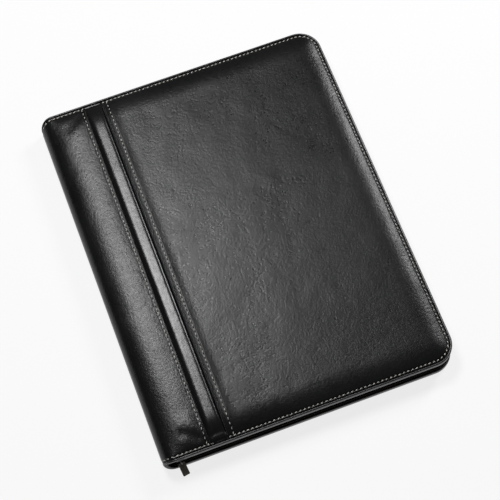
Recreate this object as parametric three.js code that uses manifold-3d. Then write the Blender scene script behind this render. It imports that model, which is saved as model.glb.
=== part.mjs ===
// Zip-around A4 writing folder in padded leather, lying closed on its rear cover.
// Millimetres. +X runs from the spine to the fore-edge, +Y from the tail to the head, +Z is up.
// The origin is the middle of the rear cover's outer face.

import * as THREE from 'three';
import { mergeVertices } from 'three/addons/utils/BufferGeometryUtils.js';
import Module from 'manifold-3d';

const wasm = await Module();
wasm.setup();

// Writing pad, which the covers are cut to fit
const PAD_WIDTH = 210;
const PAD_HEIGHT = 297;
const PAD_CARD = 0.8;
const PAD_SHEETS = 2.4;
const PAD_HEAD_TAPE = 0.3;
const PAD_HEAD_TAPE_WIDTH = 12;

// Room between the pad and the outer edges of the closed folder
const SPINE_MARGIN = 34;
const FORE_MARGIN = 19;
const HEAD_MARGIN = 21.5;
const TAIL_MARGIN = 21.5;
const CASE_DEPTH = 12.6;
const CORNER_RADIUS = 20;

// Layers of a cover, from the outside in
const LEATHER = 1.2;
const FOAM = 1.5;
const BOARD = 1.8;
const LINING = 0.7;
const LAYER_GAP = 0.1;
const CROWN = 3;
const CROWN_RUN = 16;
const HINGE_RELIEF = 3;

// Edge of a cover: a rolled binding, then the seam that the crown rises from
const BINDING_WIDTH = 2;
const BINDING_SETBACK = 0.2;
const BINDING_ROUND = 0.7;
const PIECE_GAP = 0.25;
const SEAM_INSET = 4;
const LEATHER_EDGE_ROUND = 0.5;

// Front cover: a spine-side panel, a padded ridge strip and the main panel
const HINGE_PANEL_EDGE = 42.3;
const MAIN_PANEL_EDGE = 58.6;
const RIDGE_DROP = 0.8;
const RIDGE_WIDTH = 11;
const RIDGE_RISE = 1.8;
const RIDGE_END_MARGIN = 11;
const RIDGE_END_SWELL = 0.15;

// Spine: three stiffened strips that unroll between the covers
const SPINE_STIFFENER = 0.8;
const SPINE_END_INSET = 1;
const SPINE_STIFFENER_END = 4;
const SPINE_LINING_END = 2;
const SPINE_SLIT = 0.3;
const STRIP_NAMES = ['rear', 'middle', 'front'];
const STRIP_ANGLE = Math.PI / 4;

// Zip: tape walls along the head, fore-edge and tail, with a chain on each
const ZIP_INSET = 7;
const ZIP_START = 10.5;
const TAPE = 0.7;
const TAPE_FLANGE = 4.2;
const TAPE_FLANGE_THICK = 0.6;
const CHAIN_WIDTH = 2.4;
const CHAIN_HEIGHT = 1.6;
const CHAIN_CHAMFER = 0.3;
const CHAIN_SLIT = 1.4;
const STOP_LENGTH = 2;

// Slider and its pull
const SLIDER_X = 14.5;
const SLIDER_LENGTH = 9;
const SLIDER_HEIGHT = 8;
const SLIDER_ROUND = 1.6;
const SLIDER_PLATE = 1;
const SLIDER_CLEARANCE = 0.3;
const SLIDER_POST_LENGTH = 3;
const SLIDER_LIP = 0.8;
const BAIL_OPENING = 1.8;
const BAIL_LENGTH = 4;
const BAIL_BAR = 1;
const BAIL_WIDTH = 1.2;
const RING_RADIUS = 2.6;
const RING_WIRE = 1;
const PULL_LENGTH = 13.6;
const PULL_WIDTH = 6;
const PULL_THICKNESS = 1.2;
const PULL_CORNER = 0.6;
const PULL_HOLE_RADIUS = 1.1;
const PULL_HOLE_MARGIN = 1.9;
const PULL_TABLE_GAP = 0.4;
const PULL_STEEPEST_DROOP = THREE.MathUtils.degToRad(55);
const PULL_LEAN = THREE.MathUtils.degToRad(9);

// Pockets and the pen loop
const POCKET_PANEL = 0.6;
const POCKET_RIM = 3;
const PAD_POCKET_DEPTH = 120;
const PAD_SLACK = 0.15;
const PAD_SIDE_SLACK = 0.4;
const DOCUMENT_PANEL = 0.8;
const DOCUMENT_SLOT = 0.5;
const DOCUMENT_POCKET_INSET = 12;
const DOCUMENT_POCKET_LEFT = 36;
const CARD_POCKET_COUNT = 3;
const CARD_POCKET_WIDTH = 98;
const CARD_POCKET_HEIGHT = 60;
const CARD_POCKET_STEP = 14;
const CARD_PANEL = 0.5;
const CARD_SLOT = 0.3;
const CARD_POCKET_INSET = 14;
const LOOP_LENGTH = 45;
const LOOP_WIDTH = 11;
const LOOP_HEIGHT = 10.2;
const LOOP_ROUND = 3.4;
const LOOP_WALL = 0.8;
const LOOP_TO_PAD = 5.5;

// Steps of the round stretches
const CORNER_STEPS = 7;
const CROWN_STEPS = 6;
const SPINE_STEPS = 5;
const ROUND_STEPS = 3;
const RIDGE_STEPS = 8;
const RING_STEPS = 28;
const WIRE_STEPS = 8;
const HOLE_STEPS = 16;

// Places worked out from the sizes
const COVER_WIDTH = SPINE_MARGIN + PAD_WIDTH + FORE_MARGIN;
const COVER_HEIGHT = TAIL_MARGIN + PAD_HEIGHT + HEAD_MARGIN;
const COVER_EDGE = LEATHER + FOAM + BOARD + LINING + 3 * LAYER_GAP;
const EDGE_THICKNESS = 2 * COVER_EDGE + CASE_DEPTH;
const MID_Z = EDGE_THICKNESS / 2;
const SPINE_RADIUS = EDGE_THICKNESS / 2;
const SPINE_X = -COVER_WIDTH / 2;
const FORE_X = COVER_WIDTH / 2;
const TAIL_Y = -COVER_HEIGHT / 2;
const HEAD_Y = COVER_HEIGHT / 2;
const BODY_X = SPINE_X + SPINE_RADIUS;
const LAYER_INSET = BINDING_WIDTH + PIECE_GAP;
const REAR_LINING_Z = COVER_EDGE;
const FRONT_LINING_Z = EDGE_THICKNESS - COVER_EDGE;
const PAD_X = SPINE_X + SPINE_MARGIN;
const PAD_Y = TAIL_Y + TAIL_MARGIN;
const TAPE_MID_INSET = ZIP_INSET + TAPE / 2;
const RIDGE_END_RUN = SEAM_INSET + CROWN_RUN - RIDGE_END_MARGIN;

// Colours, roughness and metalness of what each piece is made of
const FINISHES = {
  leather: [0x1c1d1f, 0.42, 0],
  ridge: [0x232427, 0.34, 0],
  binding: [0x18191b, 0.45, 0],
  foam: [0x3a3a3c, 0.95, 0],
  board: [0x8c8578, 0.9, 0],
  lining: [0x1f2023, 0.85, 0],
  tape: [0x141415, 0.9, 0],
  chain: [0x1a1a1b, 0.5, 0],
  metal: [0x2b2b2e, 0.35, 0.9],
  pull: [0x23231a, 0.6, 0],
  card: [0xa39a86, 0.9, 0],
  paper: [0xf1f0ea, 0.85, 0],
  elastic: [0x161617, 0.8, 0],
};

// A closed solid through rings of equal point counts. The cap outline is the flat shape of the end rings.
function loft(rings, capOutline) {
  const count = rings[0].length;
  const last = (rings.length - 1) * count;
  const faces = [];
  for (let row = 0; row + 1 < rings.length; row += 1) {
    for (let k = 0; k < count; k += 1) {
      const near = row * count + k;
      const side = row * count + ((k + 1) % count);
      faces.push([near, side, side + count]);
      faces.push([near, side + count, near + count]);
    }
  }
  const clockwise = THREE.ShapeUtils.isClockWise(capOutline);
  for (const triangle of THREE.ShapeUtils.triangulateShape(capOutline, [])) {
    const [a, b, c] = clockwise ? triangle.reverse() : triangle;
    faces.push([a, c, b]);
    faces.push([last + a, last + b, last + c]);
  }
  const points = rings.flat();
  if (signedVolume(points, faces) < 0) {
    faces.forEach((face) => face.reverse());
  }
  const geometry = new THREE.BufferGeometry().setFromPoints(points);
  geometry.setIndex(faces.flat());
  geometry.computeVertexNormals();
  return geometry;
}

function signedVolume(points, faces) {
  const crossed = new THREE.Vector3();
  let volume = 0;
  for (const [a, b, c] of faces) {
    crossed.crossVectors(points[b], points[c]);
    volume += points[a].dot(crossed) / 6;
  }
  return volume;
}

// Straight solids: an outline in plan raised along Z, and sections swept along X or Y
function level(outline, z) {
  return outline.map((p) => new THREE.Vector3(p.x, p.y, z));
}

function plate(outline, low, high) {
  return loft([level(outline, low), level(outline, high)], outline);
}

function barAlongY(section, low, high) {
  const at = (y) => section.map((p) => new THREE.Vector3(p.x, y, p.y));
  return loft([at(low), at(high)], section);
}

function barAlongX(section, low, high) {
  const at = (x) => section.map((p) => new THREE.Vector3(x, p.x, p.y));
  return loft([at(low), at(high)], section);
}

function block(xLow, xHigh, yLow, yHigh, zLow, zHigh) {
  const geometry = new THREE.BoxGeometry(xHigh - xLow, yHigh - yLow, zHigh - zLow);
  return geometry.translate((xLow + xHigh) / 2, (yLow + yHigh) / 2, (zLow + zHigh) / 2);
}

// Joins and cuts, which take geometries or solids and give a solid
function toSolid(shape) {
  if (!(shape instanceof THREE.BufferGeometry)) {
    return shape;
  }
  const bare = shape.clone();
  bare.deleteAttribute('normal');
  bare.deleteAttribute('uv');
  const welded = mergeVertices(bare);
  const vertProperties = new Float32Array(welded.attributes.position.array);
  const triVerts = new Uint32Array(welded.index.array);
  return new wasm.Manifold(new wasm.Mesh({ numProp: 3, vertProperties, triVerts }));
}

function toGeometry(solid) {
  const mesh = solid.getMesh();
  const geometry = new THREE.BufferGeometry();
  geometry.setAttribute('position', new THREE.BufferAttribute(mesh.vertProperties, 3));
  geometry.setIndex(new THREE.BufferAttribute(mesh.triVerts, 1));
  geometry.computeVertexNormals();
  return geometry;
}

function join(...shapes) {
  return shapes.map(toSolid).reduce((whole, solid) => whole.add(solid));
}

function cut(shape, tool) {
  return toSolid(shape).subtract(toSolid(tool));
}

function common(shape, other) {
  return toSolid(shape).intersect(toSolid(other));
}

// Points of an arc about a centre, both ends included
function arc(centreX, centreY, radius, from, to, steps) {
  const points = [];
  for (let k = 0; k <= steps; k += 1) {
    const angle = from + ((to - from) * k) / steps;
    points.push(new THREE.Vector2(centreX + radius * Math.cos(angle), centreY + radius * Math.sin(angle)));
  }
  return points;
}

function roundedRectangle(xLow, xHigh, yLow, yHigh, radius) {
  const quarter = Math.PI / 2;
  return [
    ...arc(xLow + radius, yLow + radius, radius, 2 * quarter, 3 * quarter, ROUND_STEPS),
    ...arc(xHigh - radius, yLow + radius, radius, 3 * quarter, 4 * quarter, ROUND_STEPS),
    ...arc(xHigh - radius, yHigh - radius, radius, 0, quarter, ROUND_STEPS),
    ...arc(xLow + radius, yHigh - radius, radius, quarter, 2 * quarter, ROUND_STEPS),
  ];
}

// The plan of a cover: square at the spine, round corners at the fore-edge
function coverOutline(inset, spineInset) {
  const radius = Math.max(CORNER_RADIUS - inset, LAYER_INSET);
  const centreX = FORE_X - inset - radius;
  const reach = COVER_HEIGHT / 2 - inset;
  return [
    new THREE.Vector2(BODY_X + spineInset, -reach),
    ...arc(centreX, -reach + radius, radius, -Math.PI / 2, 0, CORNER_STEPS),
    ...arc(centreX, reach - radius, radius, 0, Math.PI / 2, CORNER_STEPS),
    new THREE.Vector2(BODY_X + spineInset, reach),
  ];
}

// Height of the padding above the seam, at a distance inside it
function crownRise(distance) {
  const share = THREE.MathUtils.clamp(distance / CROWN_RUN, 0, 1);
  return CROWN * Math.sin((share * Math.PI) / 2);
}

// Rings of the front cover's padded top, over the seam's height, from the seam to the level middle
function crownRings(seamZ, spineInset) {
  const rings = [];
  for (let k = 0; k <= CROWN_STEPS; k += 1) {
    const distance = (CROWN_RUN * k) / CROWN_STEPS;
    const outline = coverOutline(SEAM_INSET + distance, Math.max(distance, spineInset));
    rings.push(level(outline, seamZ + crownRise(distance)));
  }
  return rings;
}

// A sheet over the crown, as thick as the leather, with its underside left open for the foam
function crownedSkin() {
  const edge = coverOutline(LAYER_INSET, 0);
  const rounded = coverOutline(LAYER_INSET + LEATHER_EDGE_ROUND, 0);
  const outside = loft([
    level(edge, EDGE_THICKNESS - 2 * LEATHER),
    level(edge, EDGE_THICKNESS - LEATHER_EDGE_ROUND),
    level(rounded, EDGE_THICKNESS),
    ...crownRings(EDGE_THICKNESS, 0),
  ], edge);
  const beyond = coverOutline(0, -LAYER_INSET);
  const inside = loft([
    level(beyond, EDGE_THICKNESS - 3 * LEATHER),
    level(beyond, EDGE_THICKNESS - LEATHER),
    ...crownRings(EDGE_THICKNESS - LEATHER, 0),
  ], beyond);
  return cut(outside, inside);
}

function slab(xLow, xHigh) {
  return block(xLow, xHigh, TAIL_Y, HEAD_Y, 0, EDGE_THICKNESS + CROWN + RIDGE_RISE);
}

// Spine geometry: ring sectors about the line that the covers and the spine turn round
function spineSector(outer, inner, from, to) {
  return [
    ...arc(BODY_X, MID_Z, outer, from, to, SPINE_STEPS),
    ...arc(BODY_X, MID_Z, inner, to, from, SPINE_STEPS),
  ];
}

function spineLength(endInset) {
  return COVER_HEIGHT / 2 - endInset;
}

// The leather that carries a cover round into the spine, lapped a little into the cover
function spineLap(side) {
  const overlap = new THREE.Vector2(HINGE_RELIEF / 2, 0);
  const slit = SPINE_SLIT / 2 / SPINE_RADIUS;
  const flat = (side * Math.PI) / 2;
  const end = side * (Math.PI / 2 + STRIP_ANGLE / 2 - slit);
  const outside = arc(BODY_X, MID_Z, SPINE_RADIUS, end, flat, SPINE_STEPS);
  const inside = arc(BODY_X, MID_Z, SPINE_RADIUS - LEATHER, flat, end, SPINE_STEPS);
  const outerTip = outside[SPINE_STEPS].clone().add(overlap);
  const innerTip = inside[0].clone().add(overlap);
  const reach = spineLength(LAYER_INSET);
  return barAlongY([...outside, outerTip, innerTip, ...inside], -reach, reach);
}

// Sweeps along the head, fore-edge and tail. A section is measured inwards from the line, and up.
function edgeStations(inset, start) {
  const radius = CORNER_RADIUS - inset;
  const centreX = FORE_X - CORNER_RADIUS;
  const centreY = COVER_HEIGHT / 2 - CORNER_RADIUS;
  const stations = [];
  const addStation = (x, y, angle) => {
    const inward = new THREE.Vector2(-Math.cos(angle), -Math.sin(angle));
    stations.push({ point: new THREE.Vector2(x, y), inward });
  };
  addStation(start, TAIL_Y + inset, -Math.PI / 2);
  for (const side of [-1, 1]) {
    for (let k = 0; k <= CORNER_STEPS; k += 1) {
      const turn = (Math.PI / 2) * (k / CORNER_STEPS);
      const angle = side < 0 ? turn - Math.PI / 2 : turn;
      const x = centreX + radius * Math.cos(angle);
      addStation(x, side * centreY + radius * Math.sin(angle), angle);
    }
  }
  addStation(start, HEAD_Y - inset, Math.PI / 2);
  return stations;
}

function sweepEdge(section, inset, start) {
  const rings = edgeStations(inset, start).map(({ point, inward }) => section.map((p) => new THREE.Vector3(
    point.x + inward.x * p.x,
    point.y + inward.y * p.x,
    p.y,
  )));
  return loft(rings, section);
}

function edgeBinding(low, high) {
  const section = roundedRectangle(
    0,
    BINDING_WIDTH,
    low + BINDING_SETBACK,
    high - BINDING_SETBACK,
    BINDING_ROUND,
  );
  return sweepEdge(section, 0, BODY_X);
}

// Half of the zip, standing on a lining: side is 1 on the rear cover and -1 under the front cover
function zipHeights(side) {
  const seat = side > 0 ? REAR_LINING_Z : FRONT_LINING_Z;
  const chainEdge = MID_Z - (side * CHAIN_SLIT) / 2;
  const chainFoot = chainEdge - side * CHAIN_HEIGHT;
  return { seat, chainEdge, chainFoot };
}

function zipTape(side) {
  const { seat, chainFoot } = zipHeights(side);
  const flangeTop = seat + side * TAPE_FLANGE_THICK;
  const section = [
    new THREE.Vector2(-TAPE_FLANGE, seat),
    new THREE.Vector2(TAPE, seat),
    new THREE.Vector2(TAPE, chainFoot),
    new THREE.Vector2(0, chainFoot),
    new THREE.Vector2(0, flangeTop),
    new THREE.Vector2(-TAPE_FLANGE, flangeTop),
  ];
  return sweepEdge(section, ZIP_INSET, SPINE_X + ZIP_START);
}

function zipChain(side) {
  const { chainEdge, chainFoot } = zipHeights(side);
  const half = CHAIN_WIDTH / 2;
  const corner = CHAIN_CHAMFER;
  const section = [
    new THREE.Vector2(-half, chainFoot + side * corner),
    new THREE.Vector2(-half + corner, chainFoot),
    new THREE.Vector2(half - corner, chainFoot),
    new THREE.Vector2(half, chainFoot + side * corner),
    new THREE.Vector2(half, chainEdge - side * corner),
    new THREE.Vector2(half - corner, chainEdge),
    new THREE.Vector2(-half + corner, chainEdge),
    new THREE.Vector2(-half, chainEdge - side * corner),
  ];
  return sweepEdge(section, TAPE_MID_INSET, SPINE_X + ZIP_START + STOP_LENGTH + PIECE_GAP);
}

function zipStop(side, end) {
  const { chainEdge, chainFoot } = zipHeights(side);
  const x = SPINE_X + ZIP_START;
  const y = end * (COVER_HEIGHT / 2 - TAPE_MID_INSET);
  const half = CHAIN_WIDTH / 2;
  const low = Math.min(chainEdge, chainFoot);
  return block(x, x + STOP_LENGTH, y - half, y + half, low, low + CHAIN_HEIGHT);
}

// A pocket: a thin panel with a rim on three sides that seats on what lies behind it
function pocket(area, seat, slotHeight, panel, side, openTo) {
  const panelFace = seat + side * (slotHeight + panel);
  const roof = seat + side * slotHeight;
  const past = seat - side * panel;
  const whole = block(
    area.xLow,
    area.xHigh,
    area.yLow,
    area.yHigh,
    Math.min(seat, panelFace),
    Math.max(seat, panelFace),
  );
  const slot = block(
    area.xLow + (openTo === 'spine' ? -POCKET_RIM : POCKET_RIM),
    area.xHigh - POCKET_RIM,
    area.yLow + POCKET_RIM,
    area.yHigh + (openTo === 'head' ? POCKET_RIM : -POCKET_RIM),
    Math.min(past, roof),
    Math.max(past, roof),
  );
  return cut(whole, slot);
}

const folder = new THREE.Group();

function addPiece(name, shape, finish, parent = folder) {
  const [color, roughness, metalness] = FINISHES[finish];
  const geometry = shape instanceof THREE.BufferGeometry ? shape : toGeometry(shape);
  const material = new THREE.MeshStandardMaterial({ color, roughness, metalness });
  const mesh = new THREE.Mesh(geometry, material);
  mesh.name = name;
  parent.add(mesh);
}

// Rear cover, flat, from the outer leather up to the lining
function buildRearCover() {
  const edge = coverOutline(LAYER_INSET, 0);
  const rounded = coverOutline(LAYER_INSET + LEATHER_EDGE_ROUND, 0);
  const inner = coverOutline(LAYER_INSET, HINGE_RELIEF);
  const foamZ = LEATHER + LAYER_GAP;
  const boardZ = foamZ + FOAM + LAYER_GAP;
  const liningZ = boardZ + BOARD + LAYER_GAP;
  const skin = loft([level(rounded, 0), level(edge, LEATHER_EDGE_ROUND), level(edge, LEATHER)], edge);
  addPiece('rear_leather', join(skin, spineLap(-1)), 'leather');
  addPiece('rear_foam', plate(inner, foamZ, foamZ + FOAM), 'foam');
  addPiece('rear_board', plate(inner, boardZ, boardZ + BOARD), 'board');
  addPiece('rear_lining', plate(edge, liningZ, liningZ + LINING), 'lining');
  addPiece('rear_edge_binding', edgeBinding(0, COVER_EDGE), 'binding');
}

// Front cover, padded, with its three outer panels
function buildFrontCover() {
  const edge = coverOutline(LAYER_INSET, 0);
  const inner = coverOutline(LAYER_INSET, HINGE_RELIEF);
  const liningTop = FRONT_LINING_Z + LINING;
  const boardZ = liningTop + LAYER_GAP;
  const foamZ = boardZ + BOARD + LAYER_GAP;
  const foamTop = EDGE_THICKNESS - LEATHER - LAYER_GAP;
  const hingeEdge = SPINE_X + HINGE_PANEL_EDGE;
  const mainEdge = SPINE_X + MAIN_PANEL_EDGE;
  const skin = crownedSkin();
  const foamWithTop = (top) => loft([level(inner, foamZ), ...crownRings(top, HINGE_RELIEF)], inner);
  const channel = slab(hingeEdge - PIECE_GAP, mainEdge + PIECE_GAP);
  const besideRidge = cut(foamWithTop(foamTop), channel);
  const underRidge = common(foamWithTop(foamTop - RIDGE_DROP), channel);
  const hingeSkin = common(skin, slab(SPINE_X, hingeEdge));
  addPiece('front_hinge_panel', join(hingeSkin, spineLap(1)), 'leather');
  addPiece('front_main_panel', common(skin, slab(mainEdge, FORE_X)), 'leather');
  buildRidge(skin, hingeEdge + PIECE_GAP, mainEdge - PIECE_GAP);
  addPiece('front_foam', join(besideRidge, underRidge), 'foam');
  addPiece('front_board', plate(inner, boardZ, boardZ + BOARD), 'board');
  addPiece('front_lining', plate(edge, FRONT_LINING_Z, liningTop), 'lining');
  addPiece('front_edge_binding', edgeBinding(FRONT_LINING_Z, EDGE_THICKNESS), 'binding');
}

// A round-backed bar along the ridge, whose foot follows the crown and whose ends run out. The inset
// narrows and shortens it, the sink lowers its foot below the strip's face, and a skirt goes deeper still.
function ridgeSolid(centreX, { inset, rise, sink, skirt }) {
  const half = RIDGE_WIDTH / 2 - inset;
  const reach = COVER_HEIGHT / 2 - RIDGE_END_MARGIN - inset;
  const rings = [];
  for (const end of [-1, 1]) {
    for (let k = 0; k <= RIDGE_STEPS; k += 1) {
      const share = (end < 0 ? k : RIDGE_STEPS - k) / RIDGE_STEPS;
      const y = end * (reach - RIDGE_END_RUN * share);
      const seamDistance = COVER_HEIGHT / 2 - Math.abs(y) - SEAM_INSET;
      const foot = EDGE_THICKNESS + crownRise(seamDistance) - RIDGE_DROP - sink;
      const swell = Math.sin((Math.max(share, RIDGE_END_SWELL) * Math.PI) / 2);
      rings.push(ridgeRing(centreX, y, half, foot, rise * swell, skirt));
    }
  }
  return loft(rings, rings[0].map((p) => new THREE.Vector2(p.x, p.z)));
}

function ridgeRing(centreX, y, half, foot, rise, skirt) {
  const ring = [];
  for (let k = 0; k <= RIDGE_STEPS; k += 1) {
    const angle = (Math.PI * k) / RIDGE_STEPS;
    ring.push(new THREE.Vector3(centreX + half * Math.cos(angle), y, foot + rise * Math.sin(angle)));
  }
  if (skirt > 0) {
    ring.push(new THREE.Vector3(centreX - half, y, foot - skirt));
    ring.push(new THREE.Vector3(centreX + half, y, foot - skirt));
  }
  return ring;
}

// The ridge strip lies a little below the panels beside it and swells up over its own padding
function buildRidge(skin, xLow, xHigh) {
  const centreX = (xLow + xHigh) / 2;
  const swell = ridgeSolid(centreX, { inset: 0, rise: RIDGE_RISE, sink: 0, skirt: LEATHER / 2 });
  const hollow = ridgeSolid(centreX, { inset: LEATHER, rise: RIDGE_RISE, sink: LEATHER, skirt: LEATHER });
  const padding = ridgeSolid(centreX, {
    inset: LEATHER + PIECE_GAP,
    rise: RIDGE_RISE - PIECE_GAP,
    sink: LEATHER,
    skirt: 0,
  });
  const flatStrip = common(skin, slab(xLow, xHigh)).translate([0, 0, -RIDGE_DROP]);
  addPiece('front_ridge_strip', cut(join(flatStrip, swell), hollow), 'ridge');
  addPiece('ridge_padding', padding, 'foam');
}

// Spine strips, named from the rear cover to the front cover
function buildSpine() {
  const layers = [
    { name: 'leather', thickness: LEATHER, endInset: SPINE_END_INSET, finish: 'leather' },
    { name: 'stiffener', thickness: SPINE_STIFFENER, endInset: SPINE_STIFFENER_END, finish: 'board' },
    { name: 'lining', thickness: LINING, endInset: SPINE_LINING_END, finish: 'lining' },
  ];
  const slit = SPINE_SLIT / 2 / SPINE_RADIUS;
  STRIP_NAMES.forEach((strip, k) => {
    const from = Math.PI + STRIP_ANGLE * (STRIP_NAMES.length / 2 - k) - slit;
    const to = from - STRIP_ANGLE + 2 * slit;
    let outer = SPINE_RADIUS;
    for (const { name, thickness, endInset, finish } of layers) {
      const section = spineSector(outer, outer - thickness, from, to);
      const reach = spineLength(endInset);
      addPiece(`spine_${strip}_${name}`, barAlongY(section, -reach, reach), finish);
      outer -= thickness + LAYER_GAP;
    }
  });
}

function buildZip() {
  addPiece('rear_zip_tape', zipTape(1), 'tape');
  addPiece('rear_zip_chain', zipChain(1), 'chain');
  addPiece('rear_zip_stop_tail', zipStop(1, -1), 'metal');
  addPiece('rear_zip_stop_head', zipStop(1, 1), 'metal');
  addPiece('front_zip_tape', zipTape(-1), 'tape');
  addPiece('front_zip_chain', zipChain(-1), 'chain');
  addPiece('front_zip_stop_tail', zipStop(-1, -1), 'metal');
  addPiece('front_zip_stop_head', zipStop(-1, 1), 'metal');
}

// Slider: two plates outside and inside the chain, a thin post between the halves of the chain, lips that
// hold the rear half, and a bail for the ring
function buildSlider() {
  const x = SPINE_X + SLIDER_X;
  const y = TAIL_Y + TAPE_MID_INSET;
  const halfLength = SLIDER_LENGTH / 2;
  const inside = CHAIN_WIDTH / 2 + SLIDER_CLEARANCE;
  const outside = inside + SLIDER_PLATE;
  const outline = roundedRectangle(
    x - halfLength,
    x + halfLength,
    MID_Z - SLIDER_HEIGHT / 2,
    MID_Z + SLIDER_HEIGHT / 2,
    SLIDER_ROUND,
  );
  const plates = [barAlongY(outline, y - outside, y - inside), barAlongY(outline, y + inside, y + outside)];
  const lipTop = MID_Z - CHAIN_SLIT / 2 - CHAIN_HEIGHT - SLIDER_CLEARANCE;
  const lipReach = TAPE / 2 + SLIDER_CLEARANCE;
  const lipEnd = halfLength - SLIDER_ROUND;
  const lips = [
    block(x - lipEnd, x + lipEnd, y - outside, y - lipReach, lipTop - SLIDER_LIP, lipTop),
    block(x - lipEnd, x + lipEnd, y + lipReach, y + outside, lipTop - SLIDER_LIP, lipTop),
  ];
  const postHalf = CHAIN_SLIT / 2 - SLIDER_CLEARANCE;
  const postEnd = SLIDER_POST_LENGTH / 2;
  const post = block(x - postEnd, x + postEnd, y - outside, y + outside, MID_Z - postHalf, MID_Z + postHalf);
  addPiece('zip_slider', join(...plates, ...lips, post, bail(x, y - outside)), 'metal');
  buildPull(x, y - outside - BAIL_OPENING / 2);
}

// An arch along the run of the zip, standing out from the slider's outer plate
function bail(x, plateY) {
  const halfOpening = BAIL_LENGTH / 2;
  const halfArch = halfOpening + BAIL_BAR;
  const barY = plateY - BAIL_OPENING;
  const arch = plate(
    roundedRectangle(x - halfArch, x + halfArch, barY - BAIL_BAR, plateY + SLIDER_PLATE / 2, BAIL_BAR / 2),
    MID_Z - BAIL_WIDTH / 2,
    MID_Z + BAIL_WIDTH / 2,
  );
  const opening = block(x - halfOpening, x + halfOpening, barY, plateY, MID_Z - BAIL_WIDTH, MID_Z + BAIL_WIDTH);
  return cut(arch, opening);
}

// A ring through the bail and a flat pull hanging from it. They lean together about the bail's middle,
// and the pull droops until its tip is just above the table.
function buildPull(x, y) {
  const lean = new THREE.Group();
  lean.position.set(x, y, MID_Z);
  lean.rotation.z = PULL_LEAN;
  folder.add(lean);
  const ring = new THREE.TorusGeometry(RING_RADIUS, RING_WIRE / 2, WIRE_STEPS, RING_STEPS);
  ring.rotateY(Math.PI / 2);
  ring.translate(0, -RING_RADIUS, 0);
  addPiece('pull_ring', ring, 'metal', lean);
  const reach = RING_RADIUS - PULL_HOLE_MARGIN + PULL_LENGTH;
  const tableDrop = MID_Z - PULL_TABLE_GAP - PULL_THICKNESS / 2;
  const droop = Math.asin(Math.min(tableDrop / reach, Math.sin(PULL_STEEPEST_DROOP)));
  const swing = new THREE.Group();
  swing.position.set(0, -RING_RADIUS, 0);
  swing.rotation.x = droop;
  lean.add(swing);
  addPiece('pull_tab', pullStrip(reach), 'pull', swing);
}

// The pull, flat and pointing away from the ring's centre, with the hole that the ring passes through
function pullStrip(reach) {
  const half = PULL_WIDTH / 2;
  const near = PULL_HOLE_MARGIN - RING_RADIUS;
  const strip = new THREE.Shape(roundedRectangle(-half, half, -reach, near, PULL_CORNER));
  const hole = arc(0, -RING_RADIUS, PULL_HOLE_RADIUS, 0, 2 * Math.PI, HOLE_STEPS);
  strip.holes.push(new THREE.Path(hole.slice(0, HOLE_STEPS)));
  const geometry = new THREE.ExtrudeGeometry(strip, { depth: PULL_THICKNESS, bevelEnabled: false });
  return geometry.translate(0, 0, -PULL_THICKNESS / 2);
}

// Writing pad: the backing card slips under its pocket's panel, and the sheets lie over the panel
function buildPad() {
  const cardZ = REAR_LINING_Z + LAYER_GAP;
  const slotHeight = LAYER_GAP + PAD_CARD + PAD_SLACK;
  const sheetsZ = REAR_LINING_Z + slotHeight + POCKET_PANEL + PAD_SLACK;
  const sheetsTop = sheetsZ + PAD_SHEETS;
  const headY = PAD_Y + PAD_HEIGHT;
  const foreX = PAD_X + PAD_WIDTH;
  const area = {
    xLow: PAD_X - PAD_SIDE_SLACK - POCKET_RIM,
    xHigh: foreX + PAD_SIDE_SLACK + POCKET_RIM,
    yLow: PAD_Y - PAD_SIDE_SLACK - POCKET_RIM,
    yHigh: PAD_Y + PAD_POCKET_DEPTH,
  };
  addPiece('pad_pocket', pocket(area, REAR_LINING_Z, slotHeight, POCKET_PANEL, 1, 'head'), 'lining');
  addPiece('pad_card', block(PAD_X, foreX, PAD_Y, headY, cardZ, cardZ + PAD_CARD), 'card');
  addPiece('pad_sheets', block(PAD_X, foreX, PAD_Y, headY, sheetsZ, sheetsTop), 'paper');
  const headTape = [
    new THREE.Vector2(headY - PAD_HEAD_TAPE_WIDTH, sheetsTop),
    new THREE.Vector2(headY, sheetsTop),
    new THREE.Vector2(headY, cardZ),
    new THREE.Vector2(headY + PAD_HEAD_TAPE, cardZ),
    new THREE.Vector2(headY + PAD_HEAD_TAPE, sheetsTop + PAD_HEAD_TAPE),
    new THREE.Vector2(headY - PAD_HEAD_TAPE_WIDTH, sheetsTop + PAD_HEAD_TAPE),
  ];
  addPiece('pad_head_tape', barAlongX(headTape, PAD_X, foreX), 'lining');
}

// Pockets under the front cover: one for documents, and card pockets stepped on top of it
function buildFrontPockets() {
  const documents = {
    xLow: SPINE_X + DOCUMENT_POCKET_LEFT,
    xHigh: FORE_X - DOCUMENT_POCKET_INSET,
    yLow: TAIL_Y + DOCUMENT_POCKET_INSET,
    yHigh: HEAD_Y - DOCUMENT_POCKET_INSET,
  };
  const documentPocket = pocket(documents, FRONT_LINING_Z, DOCUMENT_SLOT, DOCUMENT_PANEL, -1, 'spine');
  addPiece('document_pocket', documentPocket, 'lining');
  let seat = FRONT_LINING_Z - DOCUMENT_SLOT - DOCUMENT_PANEL;
  for (let k = 0; k < CARD_POCKET_COUNT; k += 1) {
    const steps = CARD_POCKET_COUNT - 1 - k;
    const xHigh = documents.xHigh - CARD_POCKET_INSET;
    const yLow = documents.yLow + CARD_POCKET_INSET;
    const area = {
      xLow: xHigh - CARD_POCKET_WIDTH,
      xHigh,
      yLow,
      yHigh: yLow + CARD_POCKET_HEIGHT + steps * CARD_POCKET_STEP,
    };
    addPiece(`card_pocket_${k + 1}`, pocket(area, seat, CARD_SLOT, CARD_PANEL, -1, 'head'), 'leather');
    seat -= CARD_SLOT + CARD_PANEL;
  }
}

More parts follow.
